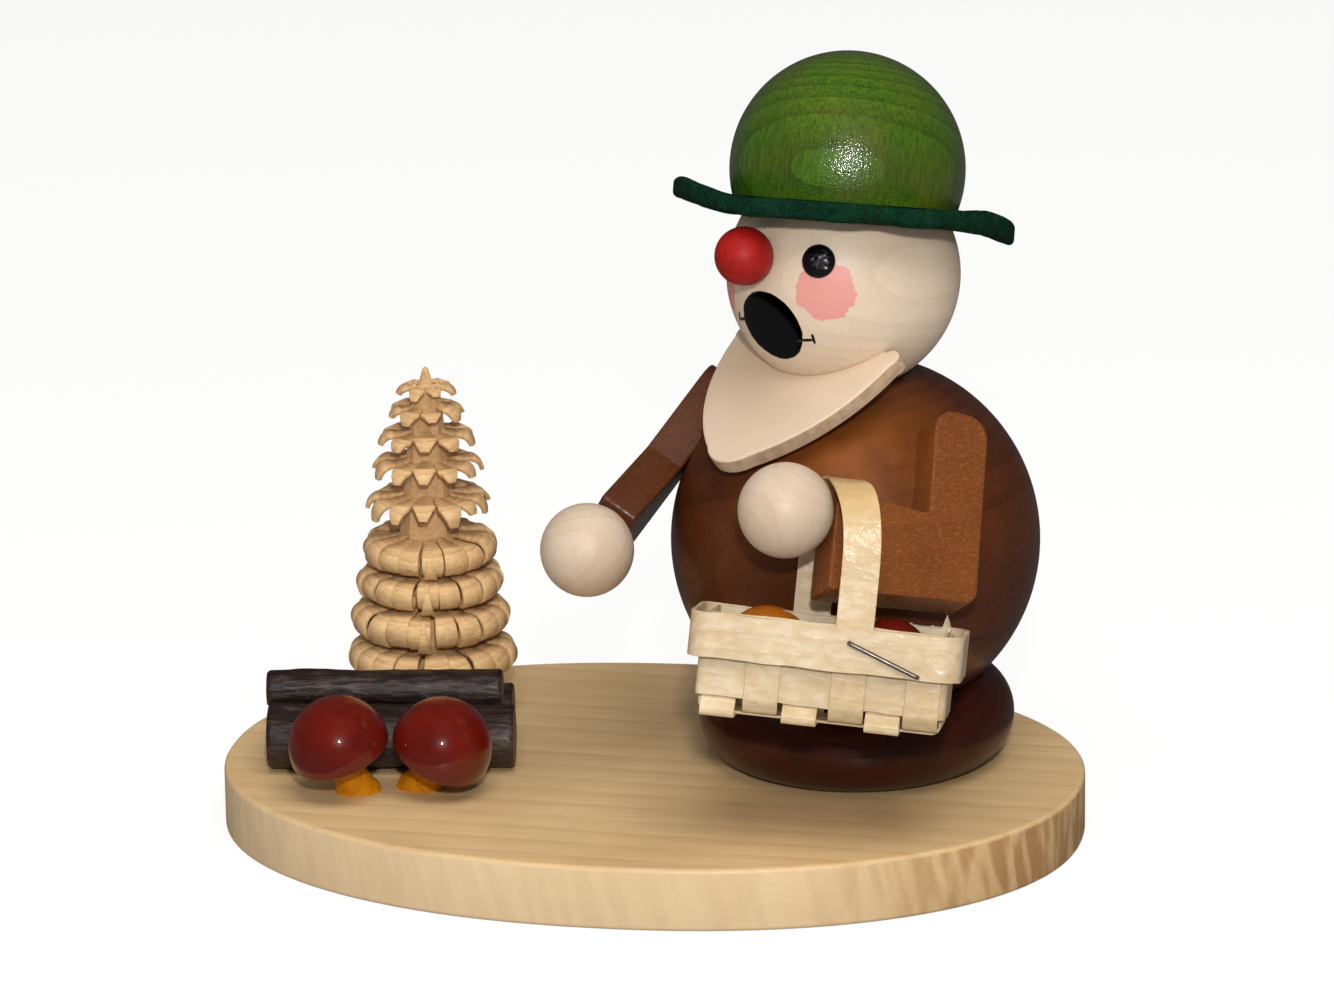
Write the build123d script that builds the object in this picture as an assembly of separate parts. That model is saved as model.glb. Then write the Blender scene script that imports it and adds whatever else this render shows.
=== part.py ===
"""Incense smoker: a turned mushroom picker with a ball body on an oval board.

Millimetres, +Z up. The origin is the middle of the board's underside, +X along the board and -Y
towards the side from which the group is looked at. Every wooden, metal, felt and chip piece is a
solid of its own, built where it sits.
"""
import math
import os

from build123d import *

# Allowances that all fits share
glue_line = 0.05
seat_gap = 0.1
lift_clearance = 0.3
overrun = 1.0

# Board
board_length = 150.2
board_width = 110.4
board_thickness = 11.0
board_edge = 0.7
board_fullness = 2.14
rim_points = 24

# Foot, a thick disc with a full round edge and a spigot that centres the body
figure_inset = 40.8
figure_y = 9.55
foot_diameter = 54.8
foot_height = 16.0
spigot_diameter = 24.0
spigot_height = 9.0
spigot_edge = 0.8

# Dish and nail that hold the incense cone
dish_diameter = 19.0
dish_wall = 0.4
dish_lip = 1.6
nail_shank = 1.6
nail_length = 8.0
nail_head = 4.0
nail_head_height = 0.8

# Body ball, hollow
body_diameter = 63.7
body_seat_diameter = 44.0
chamber_height = 34.0
chamber_shoulder = 6.0
duct_diameter = 8.0
neck_diameter = 20.0
figure_turn = -117.7

# Head ball
head_diameter = 40.0
head_turn = -9.2
head_back = 14.0
head_lean = 5.8
head_shift_forward = 1.1
head_shift_left = -1.4
hat_line = 8.8
mouth_diameter = 12.4
mouth_turn = 2.0
mouth_drop = 31.0
mouth_floor = 4.0
nose_diameter = 10.0
nose_rise = 3.5
nose_seat = 0.9
eye_diameter = 5.8
eye_height = 0.8
eye_turn = 31.9
eye_rise = 5.3

# Felt brim and crown
hat_tilt = 1.4
hat_shift = 0.6
brim_diameter = 58.6
brim_thickness = 3.0
brim_axis_turn = 134.5
brim_flat_radius = 20.5
brim_rise = 2.4
brim_droop = 2.2
brim_bend_shares = ((0.5, 0.33), (0.75, 0.75))
crown_diameter = 40.3
crown_cut = 5.9

# Beard board
beard_thickness = 2.9
beard_slope = 42.1
beard_turn = 3.2
beard_shift = 1.1
beard_offset = 5.2
beard_half_width = 18.1
beard_horn_drop = 11.1
beard_horn_radius = 2.0
beard_length = 39.2
beard_tip_radius = 6.9
beard_bulge = 3.1

# Arms, sawn from one board and glued flat on the body
arm_thickness = 7.0
arm_seat_depth = 1.0
arm_turn = 70.0
arm_rise = 32.0
upper_arm_width = 10.0
shoulder_rise = 10.3
shoulder_radius = 4.0
elbow_drop = 9.2
elbow_width = 15.4
elbow_radius = 2.4
cuff_width = 18.4
arm_corner = 0.9
hand_diameter = 16.0
hand_past_body = 1.1
hand_seat = 0.4
hand_drop = 5.3
left_upper_angle = 66.0
left_forearm_angle = 25.5
right_upper_angle = 51.0
right_forearm_angle = -18.4

# Chip basket
basket_length = 45.6
basket_width = 21.0
basket_height = 17.2
basket_corner = 3.2
basket_tilt = 5.3
basket_turn = 5.0
basket_swing = 13.0
basket_hang_y = -0.3
handle_rise = 22.1
rim_height = 7.5
rim_thickness = 0.8
inner_rim_thickness = 0.6
least_bend_share = 1.5
splint_thickness = 0.5
splint_width = 5.8
splint_place_shares = (-0.738, -0.43, -0.14, 0.195, 0.465, 0.738)
splint_top = 0.6
runner_width = 4.1
runner_count = 3
weaver_bottom = 3.3
weaver_height = 7.7
chip_gap = 0.05
handle_layer, outer_layer, weaver_layer, inner_layer = range(4)

# Basket handle
handle_width = 6.3
handle_front_x = 4.6
handle_back_x = -4.0
handle_spring = 23.2
handle_crest_gap = 1.05
handle_behind_hand = 1.05
handle_flatness = 3.2
handle_tuck = 6.5
handle_bend_steps = 12

# Staples that hold the handle in the rim
staple_wire = 0.8
staple_crown = 13.4
staple_leg = 3.4
staple_slope = 20.7
staple_drop = 1.0
staple_overlap = 0.6

# Mushrooms in the basket
small_cap_diameter = 12.8
small_cap_height = 3.8
small_stem_diameter = 5.0
small_stem_foot = 6.2
small_mushroom_height = 16.8
small_tenon_diameter = 2.4
small_tenon_length = 2.0
small_left_x = -10.2
small_right_x = 10.1

# Mushrooms on the board
cap_diameter = 17.4
cap_height = 8.9
cap_lip = 0.6
stem_diameter = 6.0
stem_foot = 9.0
stem_flare = 3.0
mushroom_height = 9.8
tenon_diameter = 3.0
tenon_length = 3.5
mushroom_front_lean = 20.5
left_mushroom_inset = 27.5
left_mushroom_y = -22.6
left_mushroom_lean = -12.0
right_mushroom_inset = 38.2
right_mushroom_y = -19.0
right_mushroom_lean = 26.0

# Twigs stacked as firewood
log_length = 42.7
log_diameter = 11.4
log_front_inset = 30.9
log_front_y = -9.7
log_spacing = 12.2
log_turn = 8.3
log_bevel = 0.5
log_taper = 0.5
log_rear_length = 41.0
log_rear_shift = 1.5
top_log_diameter = 7.1
top_log_length = 41.0
top_log_shift = -1.5
top_log_taper = 0.7

# Shaving tree, carved from one stick
tree_inset = 31.4
tree_y = 21.0
tree_dowel_diameter = 6.0
tree_dowel_length = 7.0
tree_foot_radius = 7.6
tree_neck_radius = 1.9
tree_bottom_radius = 14.9
tree_top_radius = 5.1
tree_first_tier = 10.7
tree_span = 48.0
tree_spike = 5.1
shaving_thickness = 0.75
shaving_slit = 0.3
roll_radius = 2.9
top_roll_radius = 1.7
tier_height_shares = (0, 0.135, 0.28, 0.41, 0.575, 0.71, 0.82, 0.92, 1)
tier_radius_power_share = 0.65
tier_counts = (14, 14, 13, 13, 12, 11, 9, 8, 7)
roll_sweep_bottom = 265.0
roll_sweep_top = 75.0
arc_step = 38.0

# Places worked out from the sizes above
board_top = board_thickness
left_end = -board_length / 2
figure_x = board_length / 2 - figure_inset
foot_top = board_top + foot_height
body_radius = body_diameter / 2
body_seat_z = foot_top + seat_gap
body_z = body_seat_z + math.sqrt(body_radius**2 - (body_seat_diameter / 2) ** 2)
head_radius = head_diameter / 2
neck_z = body_z + math.sqrt(body_radius**2 - (neck_diameter / 2 + head_shift_forward) ** 2)
head_z = neck_z + math.sqrt(head_radius**2 - (neck_diameter / 2) ** 2)
hand_radius = hand_diameter / 2
left_upper = math.radians(left_upper_angle)
left_fore = math.radians(left_forearm_angle)
notch_ahead = elbow_drop * math.cos(left_upper) + upper_arm_width / 2 * math.sin(left_upper)
hand_ahead = body_radius + hand_past_body - notch_ahead - hand_drop * math.sin(left_fore)
hand_reach = hand_ahead / math.cos(left_fore)
forearm_length = hand_reach - hand_radius + hand_seat
log_radius = log_diameter / 2
top_log_radius = top_log_diameter / 2

figure_frame = Location((figure_x, figure_y, body_z)) * Rotation(0, 0, figure_turn)
head_frame = (
    figure_frame
    * Location((head_shift_forward, head_shift_left, head_z - body_z))
    * Rotation(0, 0, head_turn)
    * Rotation(0, -head_back, 0)
    * Rotation(head_lean, 0, 0)
)

hat_frame = (
    head_frame
    * Rotation(0, 0, brim_axis_turn)
    * Rotation(0, -hat_tilt, 0)
    * Pos(-hat_shift, 0, hat_line)
)
beard_frame = (
    head_frame
    * Rotation(0, 90 - beard_slope, 0)
    * Pos(0, 0, -beard_offset)
    * Rotation(0, 0, -beard_turn)
)

parts = {}


def direction(turn, rise):
    """Unit vector turned from the front towards the left and raised from level, in degrees."""
    flat = math.cos(math.radians(rise))
    return Vector(
        flat * math.cos(math.radians(turn)),
        flat * math.sin(math.radians(turn)),
        math.sin(math.radians(rise)),
    )


def turned(points):
    """Solid of revolution about Z from an outline of (radius, height) points."""
    outline = Polyline(*[(radius, 0, height) for radius, height in points], close=True)
    return revolve(make_face(outline), Axis.Z)


def dome(base_radius, height):
    """Spherical segment that stands on z = 0."""
    ball_radius = (base_radius**2 + height**2) / (2 * height)
    ball = Pos(0, 0, height - ball_radius) * Sphere(ball_radius)
    return split(ball, bisect_by=Plane.XY, keep=Keep.TOP)


def ribbon(points, thickness):
    """Outline of a strip of even thickness whose middle line runs through the points."""
    left, right = [], []
    for index, point in enumerate(points):
        before = points[max(index - 1, 0)]
        after = points[min(index + 1, len(points) - 1)]
        ways = []
        for start, end in ((before, point), (point, after)):
            length = math.dist(start, end)
            if length > 0:
                ways.append(((end[0] - start[0]) / length, (end[1] - start[1]) / length))
        normal = (-sum(way[1] for way in ways), sum(way[0] for way in ways))
        size = math.hypot(*normal)
        normal = (normal[0] / size, normal[1] / size)
        mitre = thickness / 2 / (normal[1] * ways[0][0] - normal[0] * ways[0][1])
        left.append((point[0] + normal[0] * mitre, point[1] + normal[1] * mitre))
        right.append((point[0] - normal[0] * mitre, point[1] - normal[1] * mitre))
    return left + right[::-1]


def half_space(frame, side):
    """Large block on one side of the frame's XY plane, 1 above and -1 below."""
    reach = board_length
    return frame * Pos(0, 0, side * reach / 2) * Box(reach, reach, reach)


# Board and foot
def make_board():
    """Oval board, a little fuller than an ellipse, with a blind hole for the tree's dowel."""
    power = 2 / board_fullness
    points = []
    for step in range(rim_points):
        along = math.cos(2 * math.pi * step / rim_points)
        across = math.sin(2 * math.pi * step / rim_points)
        x = board_length / 2 * math.copysign(abs(along) ** power, along)
        y = board_width / 2 * math.copysign(abs(across) ** power, across)
        points.append((x, y))
    plate = extrude(make_face(Spline(*points, periodic=True)), board_thickness)
    plate = chamfer(plate.faces().sort_by(Axis.Z)[-1].edges(), board_edge)
    plate = chamfer(plate.faces().sort_by(Axis.Z)[0].edges(), board_edge)
    depth = tree_dowel_length + glue_line
    hole = Cylinder(tree_dowel_diameter / 2 + glue_line, depth + overrun)
    return plate - Pos(left_end + tree_inset, tree_y, board_top - depth + (depth + overrun) / 2) * hole


def make_foot():
    """Turned disc with a full round edge, its spigot and the nail's pilot hole."""
    radius = foot_diameter / 2
    edge = foot_height / 2
    spigot_radius = spigot_diameter / 2
    spigot_top = foot_height + spigot_height
    outline = Line((0, 0, 0), (radius - edge, 0, 0))
    outline += ThreePointArc((radius - edge, 0, 0), (radius, 0, edge), (radius - edge, 0, foot_height))
    outline += Polyline(
        (radius - edge, 0, foot_height),
        (spigot_radius, 0, foot_height),
        (spigot_radius, 0, spigot_top - spigot_edge),
        (spigot_radius - spigot_edge, 0, spigot_top),
        (0, 0, spigot_top),
        (0, 0, 0),
    )
    disc = Pos(figure_x, figure_y, board_top) * revolve(make_face(outline), Axis.Z)
    depth = nail_length + glue_line
    pilot = Cylinder(nail_shank / 2, depth + overrun)
    return disc - Pos(figure_x, figure_y, board_top + spigot_top - depth + (depth + overrun) / 2) * pilot


def make_dish():
    """Pressed tinplate dish that lies on the spigot and catches the ash."""
    radius = dish_diameter / 2
    dish = turned(
        [
            (nail_shank / 2, 0),
            (radius, 0),
            (radius, dish_lip),
            (radius - dish_wall, dish_lip),
            (radius - dish_wall, dish_wall),
            (nail_shank / 2, dish_wall),
        ]
    )
    return Pos(figure_x, figure_y, foot_top + spigot_height) * dish


def make_nail():
    """Round nail through the dish into the spigot."""
    shank = nail_shank / 2
    nail = turned(
        [
            (0, -nail_length),
            (shank, -nail_length + nail_shank),
            (shank, dish_wall),
            (nail_head / 2, dish_wall),
            (nail_head / 2, dish_wall + nail_head_height / 2),
            (nail_head / 4, dish_wall + nail_head_height),
            (0, dish_wall + nail_head_height),
        ]
    )
    return Pos(figure_x, figure_y, foot_top + spigot_height) * nail


# Arms, drawn in the plane of their board: forward along the plane, then up along it
def arm_outline(upper_angle, forearm_angle):
    """Corners and radii of an arm whose upper part drops and whose forearm bends off it."""
    drop = (math.cos(math.radians(upper_angle)), -math.sin(math.radians(upper_angle)))
    front = (-drop[1], drop[0])
    reach = (math.cos(math.radians(forearm_angle)), math.sin(math.radians(forearm_angle)))
    over = (-reach[1], reach[0])
    half = upper_arm_width / 2

    def upper(along, across):
        return (drop[0] * along + front[0] * across, drop[1] * along + front[1] * across)

    notch = upper(elbow_drop, half)

    def fore(along, across):
        return (
            notch[0] + reach[0] * along + over[0] * across,
            notch[1] + reach[1] * along + over[1] * across,
        )

    under = fore(0, -elbow_width)
    cuff_low = fore(forearm_length, -cuff_width)
    slope = (cuff_low[0] - under[0], cuff_low[1] - under[1])
    back = upper(0, -half)
    cross = drop[0] * slope[1] - drop[1] * slope[0]
    along = ((under[0] - back[0]) * slope[1] - (under[1] - back[1]) * slope[0]) / cross
    corners = [
        upper(-shoulder_rise, half),
        notch,
        fore(forearm_length, 0),
        cuff_low,
        upper(along, -half),
        upper(-shoulder_rise, -half),
    ]
    radii = [shoulder_radius, arm_corner, arm_corner, arm_corner, elbow_radius, shoulder_radius]
    return corners, radii, fore


def arm_frame(side):
    """Frame of an arm board: X out of the body, Z up along the board, origin on the body's face."""
    turn = Rotation(0, 0, side * arm_turn) * Rotation(0, -arm_rise, 0)
    return figure_frame * turn * Pos(body_radius - arm_seat_depth, 0, 0)


def make_arm(side, upper_angle, forearm_angle):
    """Arm board with its rounded corners and the hollow in its cuff for the hand ball."""
    corners, radii, fore = arm_outline(upper_angle, forearm_angle)
    outline = FilletPolyline(*[(-side * ahead, up) for ahead, up in corners], radius=radii, close=True)
    board = extrude(Plane.YZ * make_face(outline), arm_thickness)
    ahead, up = fore(hand_reach, -hand_drop)
    middle = Pos(arm_thickness / 2, -side * ahead, up)
    board -= middle * Sphere(hand_radius + glue_line)
    hand = middle * Sphere(hand_radius)
    return arm_frame(side) * board, arm_frame(side) * hand


# Body and head
def make_body():
    """Hollow ball, flat where it stands on the foot, under the head and under both arms."""
    ball = figure_frame * Sphere(body_radius)
    ball -= half_space(Pos(figure_x, figure_y, body_seat_z), -1)
    ball -= half_space(Pos(figure_x, figure_y, neck_z), 1)
    for side in (1, -1):
        ball -= half_space(arm_frame(side) * Rotation(0, 90, 0), 1)
    bore = spigot_diameter / 2 + lift_clearance
    duct = duct_diameter / 2
    smoke_way = turned(
        [
            (0, -overrun),
            (bore, -overrun),
            (bore, chamber_height - chamber_shoulder),
            (duct, chamber_height),
            (0, chamber_height),
        ]
    )
    ball -= Pos(figure_x, figure_y, body_seat_z) * smoke_way
    way_up = Cylinder(duct, body_diameter, align=(Align.CENTER, Align.CENTER, Align.MIN))
    middle = head_frame.position
    return ball - Pos(middle.X, middle.Y, body_seat_z + chamber_height - duct) * way_up


def make_head():
    """Ball with a flat on the neck, a flat under the hat, the mouth and the smoke duct."""
    ball = head_frame * Sphere(head_radius)
    ball -= half_space(Pos(figure_x, figure_y, neck_z + glue_line), -1)
    ball -= half_space(hat_frame, 1)
    duct = Cylinder(duct_diameter / 2, head_diameter, align=(Align.CENTER, Align.CENTER, Align.MAX))
    ball -= Location(head_frame.position) * duct
    mouth = Cylinder(mouth_diameter / 2, head_diameter, align=(Align.CENTER, Align.CENTER, Align.MIN))
    aim = head_frame * Rotation(0, 0, mouth_turn) * Rotation(0, 90 + mouth_drop, 0)
    ball -= aim * Pos(0, 0, -mouth_floor) * mouth
    return ball - nose_ball(glue_line)


def nose_ball(allowance):
    """Nose ball, let a little into the head."""
    reach = head_radius + nose_diameter / 2 - nose_seat
    return head_frame * Pos(reach * direction(0, nose_rise)) * Sphere(nose_diameter / 2 + allowance)


def make_eye(side):
    """Drop of thick lacquer, a lens on the head's surface."""
    seat = head_radius + glue_line
    rim = eye_diameter / 2
    edge = math.sqrt(seat**2 - rim**2)
    rise = seat + eye_height - edge
    ball_radius = (rim**2 + rise**2) / (2 * rise)
    ball_z = seat + eye_height - ball_radius
    seat_between = math.sqrt(seat**2 - (rim / 2) ** 2)
    top_between = ball_z + math.sqrt(ball_radius**2 - (rim / 2) ** 2)
    outline = Line((0, 0, seat), (0, 0, seat + eye_height))
    outline += ThreePointArc((0, 0, seat + eye_height), (rim / 2, 0, top_between), (rim, 0, edge))
    outline += ThreePointArc((rim, 0, edge), (rim / 2, 0, seat_between), (0, 0, seat))
    drop = revolve(make_face(outline), Axis.Z)
    return head_frame * Rotation(0, 0, side * eye_turn) * Rotation(0, 90 - eye_rise, 0) * drop


def make_crown():
    """Hat crown, a ball cut flat below its middle."""
    seat = hat_frame * Pos(0, 0, brim_thickness + 2 * glue_line)
    crown = seat * Pos(0, 0, crown_cut) * Sphere(crown_diameter / 2)
    return crown - half_space(seat, -1)


def make_brim():
    """Felt disc, flat under the crown, with one end curled up and the other drooping."""
    radius = brim_diameter / 2
    reach = radius - brim_flat_radius

    def bend(side, lift):
        line = [(side * brim_flat_radius, 0)]
        for way, share in brim_bend_shares:
            line.append((side * (brim_flat_radius + reach * way), lift * share))
        return line + [(side * (radius + overrun), lift)]

    line = bend(-1, brim_rise)[::-1] + bend(1, -brim_droop)
    edge = Polyline(*ribbon(line, brim_thickness), close=True)
    sheet = extrude(Plane.XZ * make_face(edge), radius + overrun, both=True)
    disc = sheet & Cylinder(radius, brim_diameter)
    return hat_frame * Pos(0, 0, glue_line + brim_thickness / 2) * disc


def make_beard():
    """Beard board, sawn to a leaf, hollowed to the head and eased where it meets the body."""
    side_way = Vector(-beard_half_width, beard_length - beard_tip_radius - beard_horn_drop).normalized()
    outward = Vector(side_way.Y, -side_way.X)
    horn = Vector(beard_half_width, beard_horn_drop)
    tip = Vector(0, beard_length - beard_tip_radius)
    horn_out = horn + outward * beard_horn_radius
    horn_end = horn - side_way * beard_horn_radius
    horn_in = horn - outward * beard_horn_radius
    tip_out = tip + outward * beard_tip_radius
    belly = (horn_out + tip_out) / 2 + outward * beard_bulge

    def other(point):
        return Vector(-point.X, point.Y)

    outline = ThreePointArc(horn_in, horn_end, horn_out)
    outline += ThreePointArc(horn_out, belly, tip_out)
    outline += ThreePointArc(tip_out, Vector(0, beard_length), other(tip_out))
    outline += ThreePointArc(other(tip_out), other(belly), other(horn_out))
    outline += ThreePointArc(other(horn_out), other(horn_end), other(horn_in))
    outline += Line(other(horn_in), horn_in)
    board = Rotation(0, 0, -90) * extrude(make_face(outline), -beard_thickness)
    board = beard_frame * Pos(beard_shift, 0, 0) * board
    board -= head_frame * Sphere(head_radius + glue_line)
    return board - figure_frame * Sphere(body_radius + glue_line)


# Basket
def crest_point():
    """Point on the left forearm's upper outer edge where the handle hangs."""
    fore = arm_outline(left_upper_angle, left_forearm_angle)[2]
    ahead, up = fore(hand_reach - hand_radius - handle_behind_hand, 0)
    return (arm_frame(1) * Pos(arm_thickness, -ahead, up)).position


def basket_frame():
    """Frame of the basket: origin under its middle, X along it, Y towards the body."""
    hung = Location(crest_point()) * Rotation(0, 0, basket_turn) * Rotation(-basket_swing, 0, 0)
    middle = (handle_front_x + handle_back_x) / 2
    return hung * Rotation(0, basket_tilt, 0) * Pos(-middle, -basket_hang_y, -basket_height - handle_rise)


def wall(layer):
    """Inset of a layer's middle from the outer rim's face, counted in chips from outside."""
    inset = rim_thickness + chip_gap + splint_thickness / 2
    return inset + layer * (splint_thickness + chip_gap)


def band(inset, thickness, bottom, height):
    """Closed band around the basket, inset from its outer size."""
    corner = max(basket_corner - inset, least_bend_share * thickness)
    long_side, short_side = basket_length - 2 * inset, basket_width - 2 * inset
    outer = RectangleRounded(long_side, short_side, corner)
    hole = RectangleRounded(long_side - 2 * thickness, short_side - 2 * thickness, corner - thickness)
    return Pos(0, 0, bottom) * extrude(outer - hole, height)


def splint_line(half_size, outside):
    """Middle line of a splint: down one wall, across the bottom and up the other wall."""
    chip = splint_thickness + chip_gap
    top = basket_height - splint_top
    low = splint_thickness / 2
    outer, inner = half_size - wall(outer_layer), half_size - wall(inner_layer)
    if outside:
        half = [(outer, top), (outer, weaver_bottom), (inner, low + 2 * chip)]
    else:
        half = [(inner, top), (inner, weaver_bottom), (outer, low + 2 * chip), (outer, low)]
    return half + [(-across, height) for across, height in half[::-1]]


def make_cross_splint(index):
    """Splint across the basket, the first inside the weaver and then turn about."""
    x = splint_place_shares[index] * basket_length / 2
    line = splint_line(basket_width / 2, index % 2 == 1)
    face = make_face(Polyline(*ribbon(line, splint_thickness), close=True))
    return Pos(x, 0, 0) * extrude(Plane.YZ * face, splint_width / 2, both=True)


def make_runner(index):
    """Splint along the basket, between the cross splints on the bottom."""
    y = (index - (runner_count - 1) / 2) * (runner_width + chip_gap)
    chip = splint_thickness + chip_gap
    end = basket_length / 2 - wall(inner_layer)
    top = basket_height - splint_top
    level = splint_thickness / 2 + chip
    line = [(end, top), (end, level), (-end, level), (-end, top)]
    face = make_face(Polyline(*ribbon(line, splint_thickness), close=True))
    strip = extrude(Plane.XZ * face, runner_width / 2, both=True)
    return Pos(0, y, 0) * strip


def handle_line():
    """Points and width ways of the handle, front leg first, in the basket's frame."""
    leg_y = basket_width / 2 - wall(handle_layer)
    rise = basket_height + handle_rise + handle_crest_gap + splint_thickness / 2 - handle_spring
    low = basket_height - handle_tuck
    points = [Vector(handle_front_x, -leg_y, low), Vector(handle_front_x, -leg_y, (low + handle_spring) / 2)]
    power = 2 / handle_flatness
    for step in range(handle_bend_steps + 1):
        share = step / handle_bend_steps
        along = -math.cos(math.pi * share)
        up = math.sqrt(max(0, 1 - along**2))
        y = leg_y * math.copysign(abs(along) ** power, along)
        z = handle_spring + rise * up**power
        ease = share * share * (3 - 2 * share)
        points.append(Vector(handle_front_x + (handle_back_x - handle_front_x) * ease, y, z))
    points += [Vector(handle_back_x, leg_y, (low + handle_spring) / 2), Vector(handle_back_x, leg_y, low)]
    return points


def make_handle():
    """Chip bent over the forearm and tucked behind the outer rim, front and back."""
    points = handle_line()
    sections = []
    for index, point in enumerate(points):
        before = points[max(index - 1, 0)]
        after = points[min(index + 1, len(points) - 1)]
        way = (after - before).normalized()
        across = (Vector(1, 0, 0) - way * way.X).normalized()
        plane = Plane(origin=point, x_dir=across, z_dir=way)
        sections.append(plane * Rectangle(handle_width, splint_thickness))
    return loft(sections, ruled=True)


def make_staple(side):
    """Wire staple, crown on the outer rim and two legs through it, aslant."""
    half = staple_crown / 2
    wire = staple_wire / 2
    crown = Box(staple_crown, staple_wire, staple_wire)
    leg = Cylinder(wire, staple_leg, rotation=(90, 0, 0))
    staple = crown + [Pos(end * (half - wire), staple_leg / 2, 0) * leg for end in (1, -1)]
    x = handle_front_x if side < 0 else handle_back_x
    shift = (half - wire) * math.cos(math.radians(staple_slope)) - staple_overlap
    middle = basket_height - rim_height / 2 - staple_drop
    place = Pos(x - side * shift, side * (basket_width / 2 + wire), middle)
    turn = Rotation(0, 0, 0 if side < 0 else 180) * Rotation(0, staple_slope, 0)
    return place * turn * staple


def make_small_mushroom(x):
    """Small turned mushroom that stands in the basket: its cap and its stem."""
    floor = splint_thickness / 2 + 2 * (splint_thickness + chip_gap) + splint_thickness / 2 + seat_gap
    neck = small_mushroom_height - small_cap_height
    stem = turned(
        [
            (0, 0),
            (small_stem_foot / 2, 0),
            (small_stem_diameter / 2, neck / 2),
            (small_stem_diameter / 2, neck),
            (small_tenon_diameter / 2, neck),
            (small_tenon_diameter / 2, neck + small_tenon_length),
            (0, neck + small_tenon_length),
        ]
    )
    cap = Pos(0, 0, neck + glue_line) * dome(small_cap_diameter / 2, small_cap_height)
    hole = Cylinder(small_tenon_diameter / 2 + glue_line, 2 * (small_tenon_length + glue_line))
    cap -= Pos(0, 0, neck) * hole
    return Pos(x, 0, floor) * cap, Pos(x, 0, floor) * stem


# Pieces glued on the board
def make_mushroom(x, y, lean):
    """Turned mushroom, its stem cut aslant so that it leans off the board."""
    neck = mushroom_height - cap_lip
    root = stem_foot / 2
    stem = turned(
        [
            (0, -root),
            (stem_foot / 2, -root),
            (stem_foot / 2, 0),
            (stem_diameter / 2, stem_flare),
            (stem_diameter / 2, neck),
            (tenon_diameter / 2, neck),
            (tenon_diameter / 2, neck + tenon_length),
            (0, neck + tenon_length),
        ]
    )
    cap = Pos(0, 0, mushroom_height) * dome(cap_diameter / 2, cap_height)
    cap += Pos(0, 0, neck + glue_line) * Cylinder(
        cap_diameter / 2, cap_lip - glue_line, align=(Align.CENTER, Align.CENTER, Align.MIN)
    )
    hole = Cylinder(tenon_diameter / 2 + glue_line, 2 * (tenon_length + glue_line))
    cap -= Pos(0, 0, neck) * hole
    place = Pos(x, y, board_top) * Rotation(mushroom_front_lean, 0, 0) * Rotation(0, lean, 0)
    under_board = half_space(Pos(x, y, board_top), -1)
    return place * cap, place * stem - under_board


def make_log(length, diameter, taper, place):
    """Twig with its bark, cut square, its arrises broken and one end a little thinner."""
    radius = diameter / 2
    thin = radius - taper
    stick = turned(
        [
            (0, -length / 2),
            (radius - log_bevel, -length / 2),
            (radius, -length / 2 + log_bevel),
            (thin, length / 2 - log_bevel),
            (thin - log_bevel, length / 2),
            (0, length / 2),
        ]
    )
    return place * Rotation(0, 90, 0) * stick


def make_logs():
    """Two twigs side by side and a thinner one in the groove between them, turned end for end."""
    turn = Location((left_end + log_front_inset, log_front_y, board_top)) * Rotation(0, 0, log_turn)
    front = make_log(log_length, log_diameter, log_taper / 2, turn * Pos(0, 0, log_radius))
    rear = make_log(
        log_rear_length, log_diameter, log_taper / 2, turn * Pos(log_rear_shift, log_spacing, log_radius)
    )
    apart = log_radius - log_taper / 2 + top_log_radius + glue_line
    rise = math.sqrt(apart**2 - (log_spacing / 2) ** 2)
    top_place = turn * Pos(top_log_shift, log_spacing / 2, log_radius + rise)
    top_place *= Rotation(0, 0, 180)
    top = make_log(top_log_length, top_log_diameter, top_log_taper / 2, top_place)
    return front, rear, top


# Shaving tree
def tier(share):
    """Outer radius, roll radius, core radius and roll sweep of a tier at a share of the height."""
    spread = (1 - share) ** tier_radius_power_share
    outer = tree_top_radius + (tree_bottom_radius - tree_top_radius) * spread
    roll = top_roll_radius + (roll_radius - top_roll_radius) * (1 - share)
    core = tree_neck_radius + (tree_foot_radius - tree_neck_radius) * (1 - share)
    sweep = roll_sweep_top + (roll_sweep_bottom - roll_sweep_top) * min(1, 2 * (1 - share))
    return outer, roll, core, sweep


def make_shaving(outer, roll, core, sweep, count):
    """One shaving: out from the stick, over and rolled under itself, as wide as its sector."""
    half_angle = math.radians(180 / count)
    middle = outer * math.cos(half_angle) - roll
    radius = roll - shaving_thickness / 2
    line = [(core - shaving_thickness, radius)]
    steps = math.ceil(sweep / arc_step)
    for step in range(steps + 1):
        angle = math.radians(90 - sweep * step / steps)
        line.append((middle + radius * math.cos(angle), radius * math.sin(angle)))
    face = make_face(Polyline(*ribbon(line, shaving_thickness), close=True))
    wide = outer * math.tan(half_angle)
    strip = extrude(Plane.XZ * face, wide, both=True)
    start = shaving_slit / 2 / math.sin(half_angle)
    reach = outer + overrun
    sector = Polyline(
        (start, 0),
        (reach, (reach - start) * math.tan(half_angle)),
        (reach, -(reach - start) * math.tan(half_angle)),
        close=True,
    )
    return strip & extrude(make_face(sector), outer, both=True)


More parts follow.
